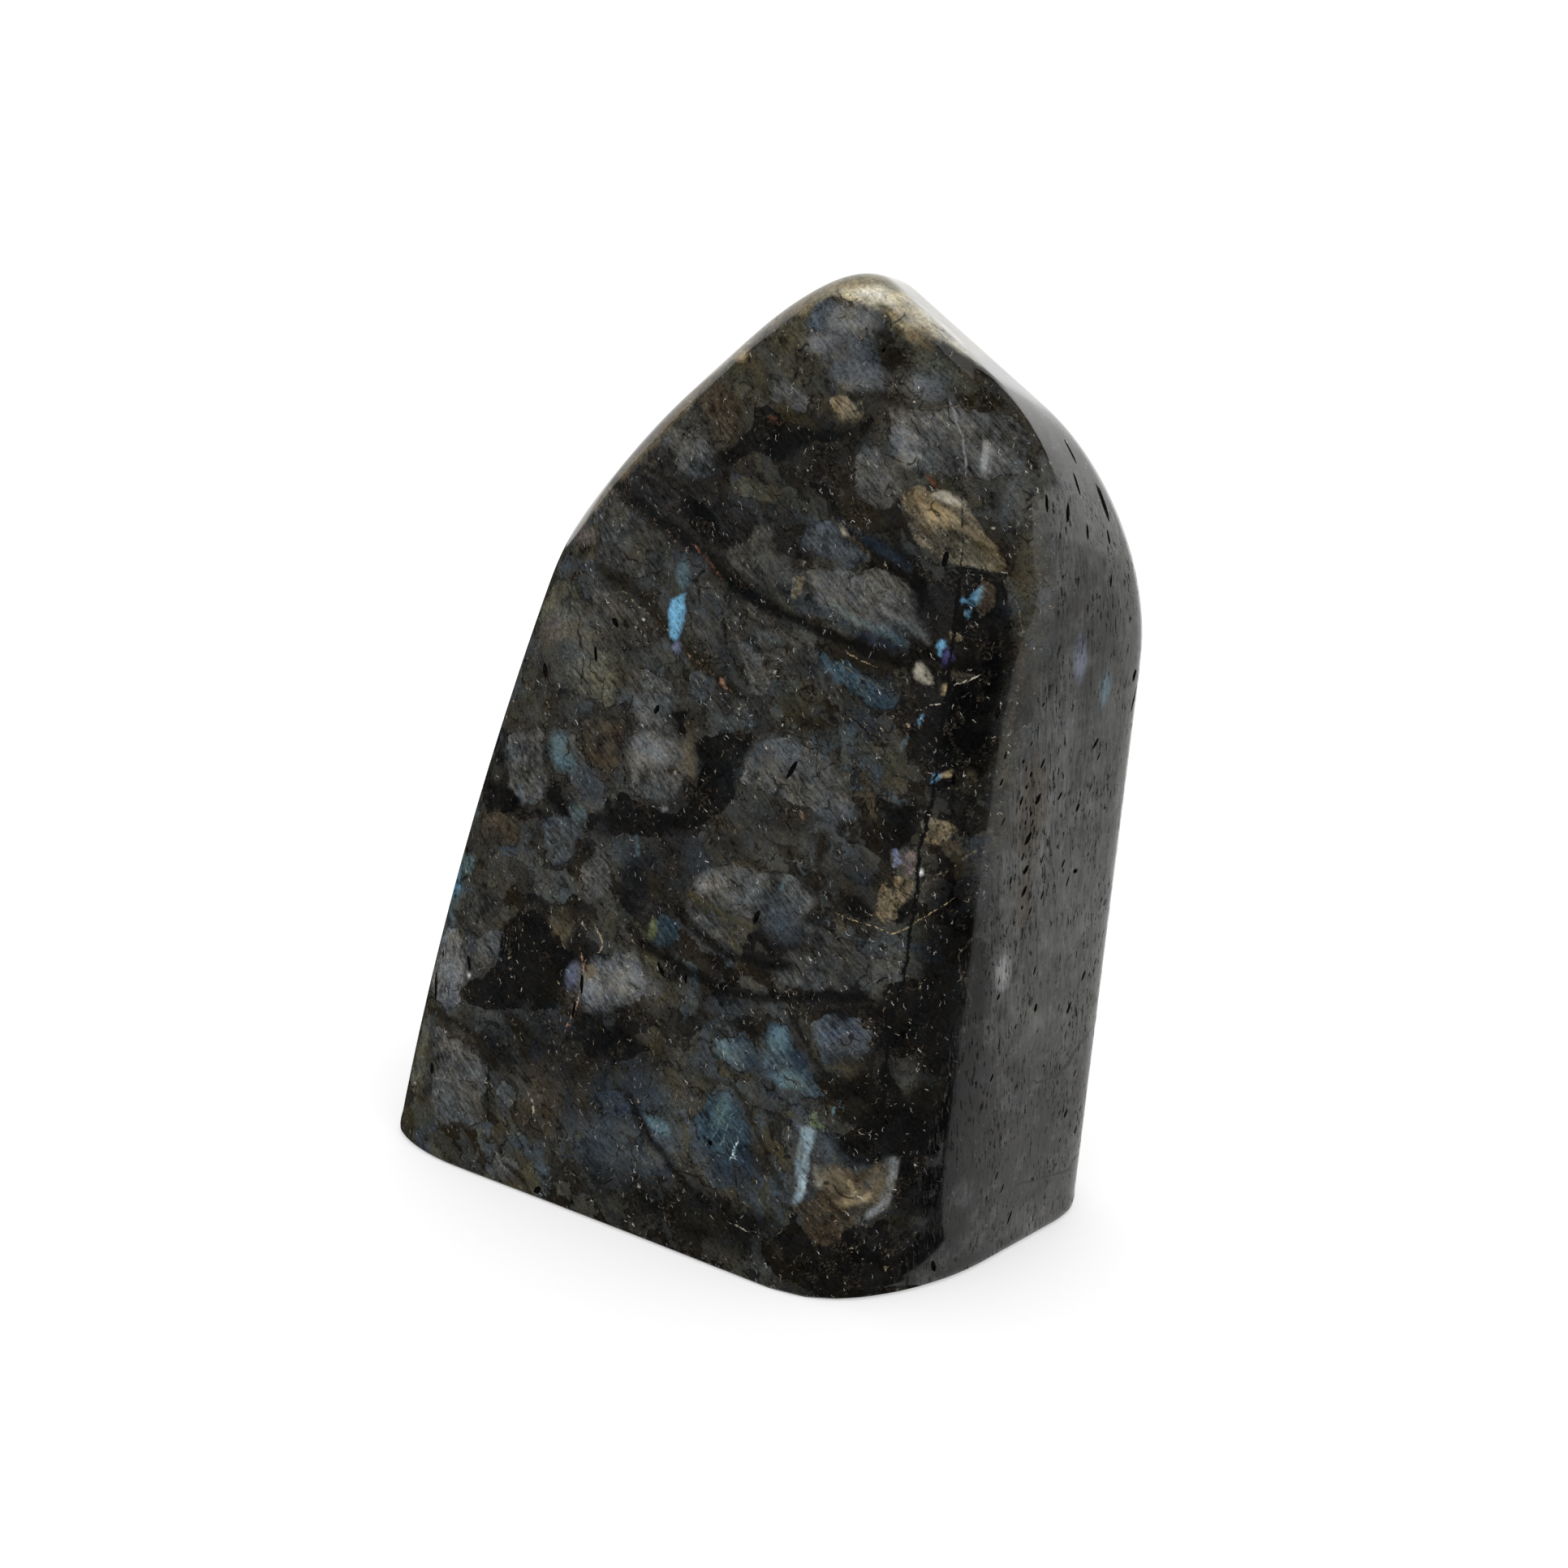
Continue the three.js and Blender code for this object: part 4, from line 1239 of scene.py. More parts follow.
@dataclass
class Pits:
    """The open pits and slits that were left in the polish, cut into the stone.

    The small slits stand in fields of the sawn right side, each with its number of
    slits and its span across and down the photograph, in pixels. Their leans are in
    degrees. The hidden pits lie on the sides that the photograph doesn't show. Angles
    around the stone are in degrees and their other measures in millimetres.
    """

    stone: bpy.types.Object
    view: View
    dark: bpy.types.Material
    seed: int = 4
    fields: tuple[tuple[int, Span, Span], ...] = (
        (34, (1258.0, 1286.0), (925.0, 1140.0)),
        (38, (1225.0, 1372.0), (860.0, 1480.0)),
    )
    small_length: Span = (4.0, 14.0)
    small_width: Span = (1.6, 3.6)
    small_lean: float = -80.0
    small_lean_play: Span = (-12.0, 12.0)
    small_depth: float = 0.4 * MM
    hidden: int = 26
    hidden_around: Span = (100.0, 265.0)
    hidden_height: Span = (8.0, 132.0)
    hidden_shift: Span = (-50.0, 50.0)
    hidden_tilt: Span = (-0.5, 0.5)
    hidden_length: Span = (0.8, 3.4)
    hidden_slimness: Span = (0.25, 0.6)
    hidden_depth: Span = (0.3, 0.7)
    clear_of_stone: float = 300 * MM
    lump_kinds: int = 4
    lump_play: float = 0.15
    apart: float = 0.6
    lumps: list[bpy.types.Mesh] = field(default_factory=list)
    placed: list[tuple[Vector, float]] = field(default_factory=list)

    def build(self) -> None:
        """Cuts all the pits into the stone, whose own material is already on it."""
        self.lumps = [self.lump(kind) for kind in range(self.lump_kinds)]
        cutters = [self.photo_cutter(slit) for slit in self.all_slits()]
        cutters += self.hidden_cutters()
        cutters = [cutter for cutter in cutters if cutter]
        deselect_all()
        for cutter in cutters:
            cutter.select_set(True)
        bpy.context.view_layer.objects.active = cutters[0]
        bpy.ops.object.join()
        cutter = bpy.context.object
        apply_modifier(
            self.stone, "BOOLEAN", object=cutter, operation="DIFFERENCE", solver="EXACT",
            use_self=False, material_mode="TRANSFER",
        )
        make_active(cutter)
        bpy.ops.object.delete()
        log.info("pits: %d cut", len(cutters))

    def lump(self, kind: int) -> bpy.types.Mesh:
        """Models one irregular pebble, the inside of a pit.

        Args:
            kind: Which of the pebbles it is.

        Returns:
            Its mesh, about 1 across.
        """
        deselect_all()
        bpy.ops.mesh.primitive_ico_sphere_add(subdivisions=2, radius=0.5)
        lump = bpy.context.object
        with editing(lump):
            bpy.ops.transform.vertex_random(offset=self.lump_play, seed=kind)
        lump.data.materials.append(self.dark)
        mesh = lump.data.copy()
        bpy.ops.object.delete()
        return mesh

    def all_slits(self) -> list[Slit]:
        """Gathers the slits of the photographed sides.

        Returns:
            Those that were seen one by one, and small ones at random in the fields.
        """
        dice = random.Random(self.seed)
        small = [
            Slit(
                dice.uniform(*across), dice.uniform(*down), dice.uniform(*self.small_length),
                dice.uniform(*self.small_width),
                self.small_lean + dice.uniform(*self.small_lean_play), self.small_depth,
            )
            for count, across, down in self.fields
            for _ in range(count)
        ]
        return list(SLITS) + small

    def photo_cutter(self, slit: Slit) -> bpy.types.Object | None:
        """Places the cutter of one slit where the photograph shows it.

        Args:
            slit: The slit.

        Returns:
            The cutter, or nothing where the slit misses the stone or meets another.
        """
        ray = self.view.ray((slit.x, slit.y))
        hit, place, normal, _ = self.stone.ray_cast(self.view.eye(), ray)
        if not hit:
            return None
        right, up, _ = self.view.axes()
        lean = math.radians(slit.lean)
        along = right * math.cos(lean) - up * math.sin(lean)
        pixel = self.view.pixel_size()
        size = (slit.length * pixel, slit.width * pixel, slit.depth)
        return self.cutter(place, normal, along, size)

    def hidden_cutters(self) -> list[bpy.types.Object | None]:
        """Places small pits on the sides that the photograph doesn't show.

        Returns:
            Their cutters, with nothing in place of those that would meet another.
        """
        dice = random.Random(self.seed + 1)
        cutters = []
        for _ in range(self.hidden):
            around = math.radians(dice.uniform(*self.hidden_around))
            ray = Vector((-math.sin(around), math.cos(around), 0.0))
            start = Vector((0.0, 0.0, dice.uniform(*self.hidden_height) * MM))
            start -= ray * self.clear_of_stone
            start += Vector((ray.y, -ray.x, 0.0)) * dice.uniform(*self.hidden_shift) * MM
            hit, place, normal, _ = self.stone.ray_cast(start, ray)
            tilt = self.hidden_tilt
            along = Vector((dice.uniform(*tilt), dice.uniform(*tilt), 1.0))
            length = dice.uniform(*self.hidden_length) * MM
            width = length * dice.uniform(*self.hidden_slimness)
            depth = dice.uniform(*self.hidden_depth) * MM
            if hit:
                cutters.append(self.cutter(place, normal, along, (length, width, depth)))
        return cutters

    def cutter(
        self, place: Vector, normal: Vector, along: Vector, size: Point
    ) -> bpy.types.Object | None:
        """Copies a pebble to the surface, half sunk in it.

        Args:
            place: Its middle, on the surface.
            normal: The surface's direction there.
            along: The way that its long side points.
            size: Its length and width, and how deep it reaches.

        Returns:
            The cutter, or nothing where it would meet another one.
        """
        length, width, depth = size
        for other, reach in self.placed:
            if (place - other).length < self.apart * (length + reach):
                return None
        self.placed.append((place.copy(), length))
        mesh = self.lumps[len(self.placed) % self.lump_kinds].copy()
        cutter = bpy.data.objects.new("pit", mesh)
        bpy.context.collection.objects.link(cutter)
        flat = (along - normal * along.dot(normal)).normalized()
        turn = Matrix((flat, normal.cross(flat), normal)).transposed().to_4x4()
        stretch = Matrix.Diagonal((length, width, 2.0 * depth, 1.0))
        mesh.transform(Matrix.Translation(place) @ turn @ stretch)
        return cutter


@dataclass
class Painter:
    """Lays the marks of the photograph on the stone, as attributes of its points.

    Warps, reaches and places are in pixels, and leans are in degrees.
    """

    view: View
    wide_size: float = 5.0 * MM
    wide_warp: float = 4.0
    fine_size: float = 2.0 * MM
    fine_warp: float = 3.4
    vein_reach: float = 9.0
    full_facing: float = 0.10
    no_facing: float = 0.0
    # painted light and shade across each shard: lighter on one side, darker on the other
    lit: float = 0.35
    fade: float = 0.4
    fade_lean: float = 40.0
    fade_spread: float = 150.0
    side_facing: Span = (0.82, 0.87)
    side_level: Span = (0.6, 0.35)
    points: np.ndarray = field(init=False)
    places: np.ndarray = field(init=False)
    crisp_places: np.ndarray = field(init=False)
    seen: np.ndarray = field(init=False)

    def build(self, stone: bpy.types.Object) -> None:
        """Paints the stone.

        Args:
            stone: The stone with its pits already cut.
        """
        mesh = stone.data
        count = len(mesh.vertices)
        self.points = np.empty(count * 3)
        mesh.vertices.foreach_get("co", self.points)
        self.points = self.points.reshape(-1, 3)
        normals = np.empty(count * 3)
        mesh.vertex_normals.foreach_get("vector", normals)
        normals = normals.reshape(-1, 3)
        facing = self.view.facing(self.points, normals)
        self.seen = smooth(facing, self.no_facing, self.full_facing)
        wide = self.wobble(self.wide_size, 1) * self.wide_warp
        fine = self.wobble(self.fine_size, 2) * self.fine_warp
        self.crisp_places = self.view.pixels(self.points) + fine
        self.places = self.crisp_places + wide
        self.store(mesh, "tone", self.soft_tones(SOFT_MARKS))
        self.store(mesh, "over", self.soft_tones(OVER_MARKS))
        self.store(mesh, "shard", self.crisp(SHARDS, self.lit, self.fade))
        for name, marks in (("gap", GAPS), ("crystal", CRYSTALS), ("glint", GLINTS)):
            self.store(mesh, name, self.crisp(marks))
        for number, veins in enumerate(VEINS):
            tones, presence = self.lines(veins)
            self.store(mesh, f"vein_{number}", tones)
            self.store(mesh, f"vein_{number}_here", presence)
        self.store(mesh, "side", self.side(normals))
        soft, crisp = len(SOFT_MARKS + OVER_MARKS), len(SHARDS + GAPS + CRYSTALS + GLINTS)
        log.info("marks: %d soft, %d crisp, %d veins", soft, crisp, sum(map(len, VEINS)))

    def wobble(self, size: float, layer: int) -> np.ndarray:
        """Makes a smooth irregular shift of every point, in two directions.

        Args:
            size: The breadth of its waves.
            layer: Which of several independent shifts it is, never 0.

        Returns:
            The shift of each point, within about 1 each way.
        """
        noise.seed_set(layer)
        shifts = [noise.noise_vector(Vector(point) / size) for point in self.points]
        return np.array(shifts)[:, :2]

    def close(self, places: np.ndarray, mark: SoftMark, reach: float = NEAR) -> np.ndarray:
        """Finds the points near a mark.

        Args:
            places: Every point's place in the photograph.
            mark: The mark.
            reach: How far beyond its corners still counts as near.

        Returns:
            The numbers of those points that are also seen.
        """
        low = np.min(np.array(mark.corners(), float), axis=0) - reach
        high = np.max(np.array(mark.corners(), float), axis=0) + reach
        return np.flatnonzero(((places > low) & (places < high)).all(1) & (self.seen > 0.0))

    def plain(self, value: float) -> np.ndarray:
        """A grey colour for every point, with a value beside it."""
        return np.tile(np.append(Tone.GREY.light(), value), (len(self.points), 1))

    def soft_tones(self, marks: Sequence[SoftMark]) -> np.ndarray:
        """Lays soft marks over each other.

        Args:
            marks: The marks, from the lowest up.

        Returns:
            Each point's colour, and how much of it the marks cover.
        """
        colours = self.plain(0.0)
        for mark in marks:
            chosen = self.close(self.places, mark)
            cover = mark.cover(self.places[chosen]) * self.seen[chosen]
            under = colours[chosen, 3] * (1.0 - cover)
            total = np.maximum(cover + under, 1e-6)
            share = (cover / total)[:, None]
            colours[chosen, :3] = colours[chosen, :3] * (1.0 - share) + mark.tone.light() * share
            colours[chosen, 3] = cover + under
        return colours

    def crisp(
        self, marks: Sequence[Grain], lit: float = 0.0, fade: float = 0.0
    ) -> np.ndarray:
        """Measures how far each point lies inside the nearest of some crisp marks.

        Args:
            marks: The marks.
            lit: How much painted light and shade each mark gets, lighter on one side of its middle and
                darker on the other.
            fade: How much sooner it ends on that side, as a share of its reach.

        Returns:
            The mark's colour at each point, and the depth inside it in millimetres.
        """
        scale = self.view.pixel_size() / MM
        result = self.plain(-NEAR * scale)
        for number, mark in enumerate(marks):
            chosen = self.close(self.crisp_places, mark)
            corners = np.array(mark.points, float)
            lean = math.radians(self.fade_lean + self.fade_spread * (number * GOLDEN % 1.0 - 0.5))
            reach = np.ptp(corners, axis=0).max() / 2.0
            away = (self.crisp_places[chosen] - corners.mean(0)) / reach
            away = away @ np.array((math.cos(lean), math.sin(lean)))
            depth = mark.depth(self.crisp_places[chosen])
            depth = (depth - fade * reach * np.maximum(away, 0.0)) * scale
            depth -= (1.0 - self.seen[chosen]) * NEAR * scale
            deeper = depth > result[chosen, 3]
            # painted light and shade: the mark grows lighter on one side of its middle and darker on the
            # other
            shine = np.clip(1.0 - lit * away[deeper], 0.5, 1.5)
            result[chosen[deeper], :3] = mark.tone.light() * shine[:, None]
            result[chosen[deeper], 3] = depth[deeper]
        return result

    def lines(self, veins: Sequence[Line]) -> tuple[np.ndarray, np.ndarray]:
        """Measures where each point lies across the nearest of some thin lines.

        Args:
            veins: The lines, which keep well apart from each other.

        Returns:
            The line's colour at each point with the signed offset in half widths, and
            how surely the line is there.
        """
        offsets = self.plain(self.vein_reach)
        presence = np.zeros(len(self.points))
        nearest = np.full(len(self.points), np.inf)
        for vein in veins:
            reach = self.vein_reach + vein.width
            chosen = self.close(self.crisp_places, vein, reach)
            gap, signed = vein.offset(self.crisp_places[chosen])
            closer = gap < nearest[chosen]
            chosen, gap, signed = chosen[closer], gap[closer], signed[closer]
            nearest[chosen] = gap
            offsets[chosen, :3] = vein.tone.light()
            offsets[chosen, 3] = signed / (0.5 * vein.width)
            presence[chosen] = smooth(gap, reach, 0.6 * reach) * self.seen[chosen] * vein.strength
        return offsets, presence

    def side(self, normals: np.ndarray) -> np.ndarray:
        """How much each point belongs to the plainly sawn right side."""
        upright = smooth(np.abs(normals[:, 2]), *self.side_level)
        return smooth(normals[:, 0], *self.side_facing) * upright

    @staticmethod
    def store(mesh: bpy.types.Mesh, name: str, values: np.ndarray) -> None:
        """Keeps values as an attribute of the mesh.

        Args:
            mesh: The mesh.
            name: The attribute's name.
            values: One value or colour a point.
        """
        kind, key = ("FLOAT_COLOR", "color") if values.ndim == 2 else ("FLOAT", "value")
        attribute = mesh.attributes.new(name, kind, "POINT")
        attribute.data.foreach_set(key, values.astype(np.float32).ravel())


class Wire:
    """The value of a socket, which takes part in sums as a number does."""

    def __init__(self, sheet: "Sheet", socket: bpy.types.NodeSocket) -> None:
        """Wraps a socket of a sheet's nodes."""
        self.sheet = sheet
        self.socket = socket

    def __add__(self, other: "Term") -> "Wire":
        """The sum."""
        return self.sheet.math("ADD", self, other)

    __radd__ = __add__

    def __sub__(self, other: "Term") -> "Wire":
        """The difference."""
        return self.sheet.math("SUBTRACT", self, other)

    def __rsub__(self, other: "Term") -> "Wire":
        """The difference, taken from a number."""
        return self.sheet.math("SUBTRACT", other, self)

    def __mul__(self, other: "Term") -> "Wire":
        """The product."""
        return self.sheet.math("MULTIPLY", self, other)

    __rmul__ = __mul__

    def __abs__(self) -> "Wire":
        """The size, without its sign."""
        return self.sheet.math("ABSOLUTE", self, 0.0)

    def most(self, other: "Term") -> "Wire":
        """The larger of the two."""
        return self.sheet.math("MAXIMUM", self, other)

    def rise(self, low: float, high: float) -> "Wire":
        """Turns the value into a soft step.

        Args:
            low: Where the step is 0.
            high: Where it is 1. It falls where low is the larger.

        Returns:
            The step.
        """
        start, end = (low, high) if low < high else (high, low)
        values = {"Value": self, "From Min": start, "From Max": end}
        if low > high:
            values |= {"To Min": 1.0, "To Max": 0.0}
        settings = {"interpolation_type": "SMOOTHSTEP"}
        return self.sheet.node("ShaderNodeMapRange", "Result", values, settings)


Term = Wire | float
Value = Wire | float | Tone | Sequence[float]


@dataclass
class Sheet:
    """One material's nodes, written as sums of wires."""

    name: str

    def __post_init__(self) -> None:
        """Makes an empty material with its shader, and finds the piece's own place."""
        self.material = bpy.data.materials.new(self.name)
        self.material.use_nodes = True
        self.tree = self.material.node_tree
        self.shader = self.tree.nodes["Principled BSDF"]
        self.place = self.node("ShaderNodeTexCoord", "Object")

    def finish(self, **values: Value) -> bpy.types.Material:
        """Links or sets the shader's sockets.

        Args:
            **values: What each takes, by its name with lines for spaces.

        Returns:
            The finished material.
        """
        for name, value in values.items():
            self.plug(self.shader.inputs[name.replace("_", " ")], value)
        return self.material

    @staticmethod
    def pick(sockets: Any, key: str | int) -> bpy.types.NodeSocket:
        """Finds a socket.

        Args:
            sockets: A node's inputs or outputs.
            key: Its number, or its identifier or name.

        Returns:
            The first such socket that is in use.
        """
        if isinstance(key, int):
            return sockets[key]
        return next(s for s in sockets if key in (s.identifier, s.name) and s.enabled)

    def plug(self, socket: bpy.types.NodeSocket, value: Value) -> None:
        """Links a wire to a socket, or sets the socket to a number, vector or colour.

        Args:
            socket: The socket.
            value: What it takes.
        """
        if isinstance(value, Wire):
            self.tree.links.new(value.socket, socket)
        elif isinstance(value, Tone):
            socket.default_value = (*value.light(), 1.0)
        elif socket.type == "RGBA" and isinstance(value, (int, float)):
            socket.default_value = (value, value, value, 1.0)
        else:
            socket.default_value = value

    def node(
        self,
        kind: str,
        output: str,
        values: dict[str | int, Value] | None = None,
        settings: dict[str, Any] | None = None,
    ) -> Wire:
        """Adds a node of any kind.

        Args:
            kind: The node's type.
            output: The name of the output that is wanted.
            values: What its inputs are set or linked to, by name, number or identifier.
            settings: Its properties, set first; "stops" gives a ramp's tones by place.

        Returns:
            The wire that leaves the output.
        """
        node = self.tree.nodes.new(kind)
        for name, setting in (settings or {}).items():
            if name == "stops":
                self.set_stops(node.color_ramp, setting)
            else:
                setattr(node, name, setting)
        for key, value in (values or {}).items():
            self.plug(self.pick(node.inputs, key), value)
        return Wire(self, self.pick(node.outputs, output))

    @staticmethod
    def set_stops(ramp: bpy.types.ColorRamp, stops: Sequence[tuple[float, Tone]]) -> None:
        """Sets a colour ramp's stops.

        Args:
            ramp: The ramp.
            stops: The place and tone of each stop.
        """
        while len(ramp.elements) < len(stops):
            ramp.elements.new(0.5)
        for element, (place, tone) in zip(ramp.elements, stops):
            element.position = place
            element.color = (*tone.light(), 1.0)

    def beside(self, wire: Wire, output: str) -> Wire:
        """Takes another output of the node that a wire leaves."""
        return Wire(self, self.pick(wire.socket.node.outputs, output))

    def math(self, operation: str, first: Term, second: Term) -> Wire:
        """Adds a Math node."""
        return self.node("ShaderNodeMath", "Value", {0: first, 1: second}, {"operation": operation})

    def vector(self, operation: str, first: Value, second: Value, output: str = "Vector") -> Wire:
        """Adds a Vector Math node."""
        settings = {"operation": operation}
        return self.node("ShaderNodeVectorMath", output, {0: first, 1: second}, settings)

    def mix(self, share: Term, under: Value, over: Value, blend: str = "MIX") -> Wire:
        """Lays one colour over another.

        Args:
            share: How much the upper one counts.
            under: The lower colour.
            over: The upper colour.
            blend: How they are blended.

        Returns:
            The blended colour.
        """
        values = {"Factor_Float": share, "A_Color": under, "B_Color": over}
        settings = {"data_type": "RGBA", "blend_type": blend, "clamp_factor": True}
        return self.node("ShaderNodeMix", "Result_Color", values, settings)

    def shaded(self, colour: Value, shade: Term) -> Wire:
        """Multiplies a colour by a shade, 1 leaving it as it is."""
        return self.mix(1.0, colour, shade, "MULTIPLY")

    def attribute(self, name: str, output: str) -> Wire:
        """Reads an attribute of the mesh."""
        return self.node("ShaderNodeAttribute", output, None, {"attribute_name": name})

    def mapped(self, turn: Point, stretch: Point) -> Wire:
        """Turns the place by angles, and stretches what is read at it along each axis."""
        values = {"Vector": self.place, "Rotation": turn, "Scale": stretch}
        return self.node("ShaderNodeMapping", "Vector", values, {"vector_type": "TEXTURE"})

    def noise(
        self,
        size: float,
        detail: float = 3.0,
        rough: float = 0.55,
        place: Wire | None = None,
        output: str = "Fac",
    ) -> Wire:
        """Adds a noise.

        Args:
            size: The size of its features, in metres.
            detail: How many finer layers it has.
            rough: How strong the finer layers are.
            place: Where it is read, or nothing for the piece's own place.
            output: Fac for a value, Color for three.

        Returns:
            The noise, about 0.5 in the middle.
        """
        values = {
            "Vector": place or self.place, "Scale": 1.0 / size, "Detail": detail,
            "Roughness": rough,
        }
        return self.node("ShaderNodeTexNoise", output, values)

    def swing(self, size: float, detail: float = 3.0, rough: float = 0.55) -> Wire:
        """A noise that is 0 in the middle."""
        return self.noise(size, detail, rough) - 0.5

    def cells(self, place: Wire, size: float, output: str, feature: str = "F1") -> Wire:
        """Adds a pattern of cells of a size in metres."""
        values = {"Vector": place, "Scale": 1.0 / size}
        return self.node("ShaderNodeTexVoronoi", output, values, {"feature": feature})

    def channel(self, colour: Wire, name: str) -> Wire:
        """Takes the Red, Green or Blue out of a colour."""
        return self.node("ShaderNodeSeparateColor", name, {"Color": colour})

    def shifted(self, place: Wire, by: Wire, amount: float) -> Wire:
        """Moves a place by a noise's colour.

        Args:
            place: The place.
            by: The colour, grey for no shift.
            amount: Twice the furthest shift each way, in metres.

        Returns:
            The moved place.
        """
        middle = self.vector("SUBTRACT", by, (0.5, 0.5, 0.5))
        step = self.vector("MULTIPLY", middle, (amount, amount, amount))
        return self.vector("ADD", place, step)


@dataclass
class PitWall(Sheet):
    """The rough inside of a pit, painted near black as the shade in the hollow, with brown dust."""

    name: str = "pit_wall"
    tone: Tone = Tone.PITCH
    dust: Tone = Tone.BROWN
    dust_size: float = 0.4 * MM
    dust_share: float = 0.6
    roughness: float = 0.75
    mirroring: float = 0.3

    def build(self) -> bpy.types.Material:
        """Makes the material.

        Returns:
            The dark stone with its dust.
        """
        dust = self.noise(self.dust_size).rise(0.5, 0.75)
        colour = self.mix(dust * self.dust_share, self.tone, self.dust)
        return self.finish(
            Base_Color=colour, Roughness=self.roughness, Specular_IOR_Level=self.mirroring
        )


@dataclass
class Labradorite(Sheet):
    """Polished labradorite: dark grains with cleavage streaks, veins, glints and sheen.

    Each layer takes the colour under it, which is called colour throughout, and gives
    the colour with the layer on it.
    """

    name: str = "labradorite"
    cleavage: Point = (0.0, math.radians(38.0), math.radians(8.0))
    streak_stretch: Point = (9.0, 1.0, 1.0)
    streak_size: float = 0.5 * MM
    grain_stretch: Point = (2.4, 1.0, 1.0)
    grain_size: float = 9.0 * MM
    small_grain_size: float = 3.2 * MM
    warp_size: float = 6.0 * MM
    warp: float = 9.0 * MM
    ground_tones: tuple[tuple[float, Tone], ...] = (
        (0.0, Tone.PITCH), (0.2, Tone.CHARCOAL), (0.35, Tone.UMBER), (0.5, Tone.GREY),
        (0.62, Tone.OLIVE), (0.75, Tone.STEEL), (0.88, Tone.GREY), (1.0, Tone.ASH),
    )
    painted: float = 0.92
    crack_stretch: Point = (3.2, 1.0, 1.0)
    crack_warp_size: float = 9.0 * MM
    crack_warp: float = 7.0 * MM
    crack_sizes: tuple[float, float] = (8.0 * MM, 3.6 * MM)
    saw_turn: Point = (math.radians(4.0), math.radians(-6.0), 0.0)
    saw_stretch: Point = (1.0, 1.0, 9.0)
    chip_stretch: Point = (1.0, 1.0, 5.0)
    speck_sizes: tuple[tuple[float, float], ...] = ((1.3 * MM, 0.71), (0.8 * MM, 0.74))
    polish: float = 0.04
    cloudiness: float = 0.05
    sawn: float = 0.03
    chipped: float = 0.7
    stone_ior: float = 1.5
    relief_height: float = 0.12 * MM
    warm: tuple[float, ...] = (1.07, 1.0, 0.87, 1.0)
    cool: tuple[float, ...] = (0.92, 1.0, 1.08, 1.0)

    def __post_init__(self) -> None:
        """Makes the sheet, and the wires that several layers read."""
        super().__post_init__()
        self.side = self.attribute("side", "Fac")
        along = self.mapped(self.cleavage, self.streak_stretch)
        self.streaks = self.noise(self.streak_size, 4.0, 0.6, along)
        bend = self.noise(self.warp_size, 4.0, 0.62, output="Color")
        self.bent = self.shifted(self.mapped(self.cleavage, self.grain_stretch), bend, self.warp)
        self.small = self.cells(self.bent, self.small_grain_size, "Color")

    def build(self) -> bpy.types.Material:
        """Makes the material.

        Returns:
            The material, which reads the stone's own place and the painted marks.
        """
        colour = self.painted_tones("tone", self.ground(), self.painted)
        colour = self.crystals(self.gaps(self.shards(self.grains(colour))))
        colour = self.painted_tones("over", colour, 1.0)
        colour = self.glints(self.cracks(self.lively(colour)))
        colour = self.specks(self.veins(self.sawn_side(colour)))
        rough = self.polish + self.cloudiness * self.noise(3.0 * MM) + self.side * self.sawn
        return self.finish(
            Base_Color=colour,
            Roughness=rough + self.chips() * self.side * self.chipped,
            IOR=self.stone_ior,
            Normal=self.relief(),
        )

    def painted_tones(self, name: str, colour: Wire, share: float) -> Wire:
        """Lays soft marks over the colour."""
        cover = self.attribute(name, "Alpha") * share
        return self.mix(cover, colour, self.attribute(name, "Color"))

    def ground(self) -> Wire:
        """Makes the jumble of grains that shows wherever no mark is painted.

        Returns:
            Its colour.
        """
        cell = self.cells(self.bent, self.grain_size, "Color")
        chance = self.channel(cell, "Red") * 0.64 + self.channel(self.small, "Green") * 0.36
        stops = {"stops": self.ground_tones}
        broad = self.node("ShaderNodeValToRGB", "Color", {0: chance}, stops)
        sheen = self.channel(cell, "Blue").rise(0.84, 0.90)
        sheen = sheen * self.noise(4.0 * MM).rise(0.46, 0.66)
        return self.mix(sheen * 0.5, broad, Tone.BLUE)

    def grains(self, colour: Wire) -> Wire:
        """Breaks the painted tones up into grains with dark seams between them.

        Args:
            colour: The colour below.

        Returns:
            The colour with the grains in it.
        """
        colour = self.shaded(colour, self.channel(self.small, "Red") * 0.42 + 0.80)
        tint = self.mix(self.channel(self.small, "Green"), self.warm, self.cool)
        colour = self.mix(0.6, colour, tint, "MULTIPLY")
        seam = self.cells(self.bent, self.small_grain_size, "Distance", "DISTANCE_TO_EDGE")
        patchy = self.noise(2.5 * MM, 4.0, 0.65)
        dark = seam.rise(0.09, 0.0) * patchy.rise(0.42, 0.6)
        colour = self.mix(dark * 0.8, colour, Tone.PITCH)
        black = self.channel(self.small, "Blue").rise(0.93, 0.96) * patchy.rise(0.4, 0.5)
        return self.mix(black * 0.7, colour, Tone.PITCH)

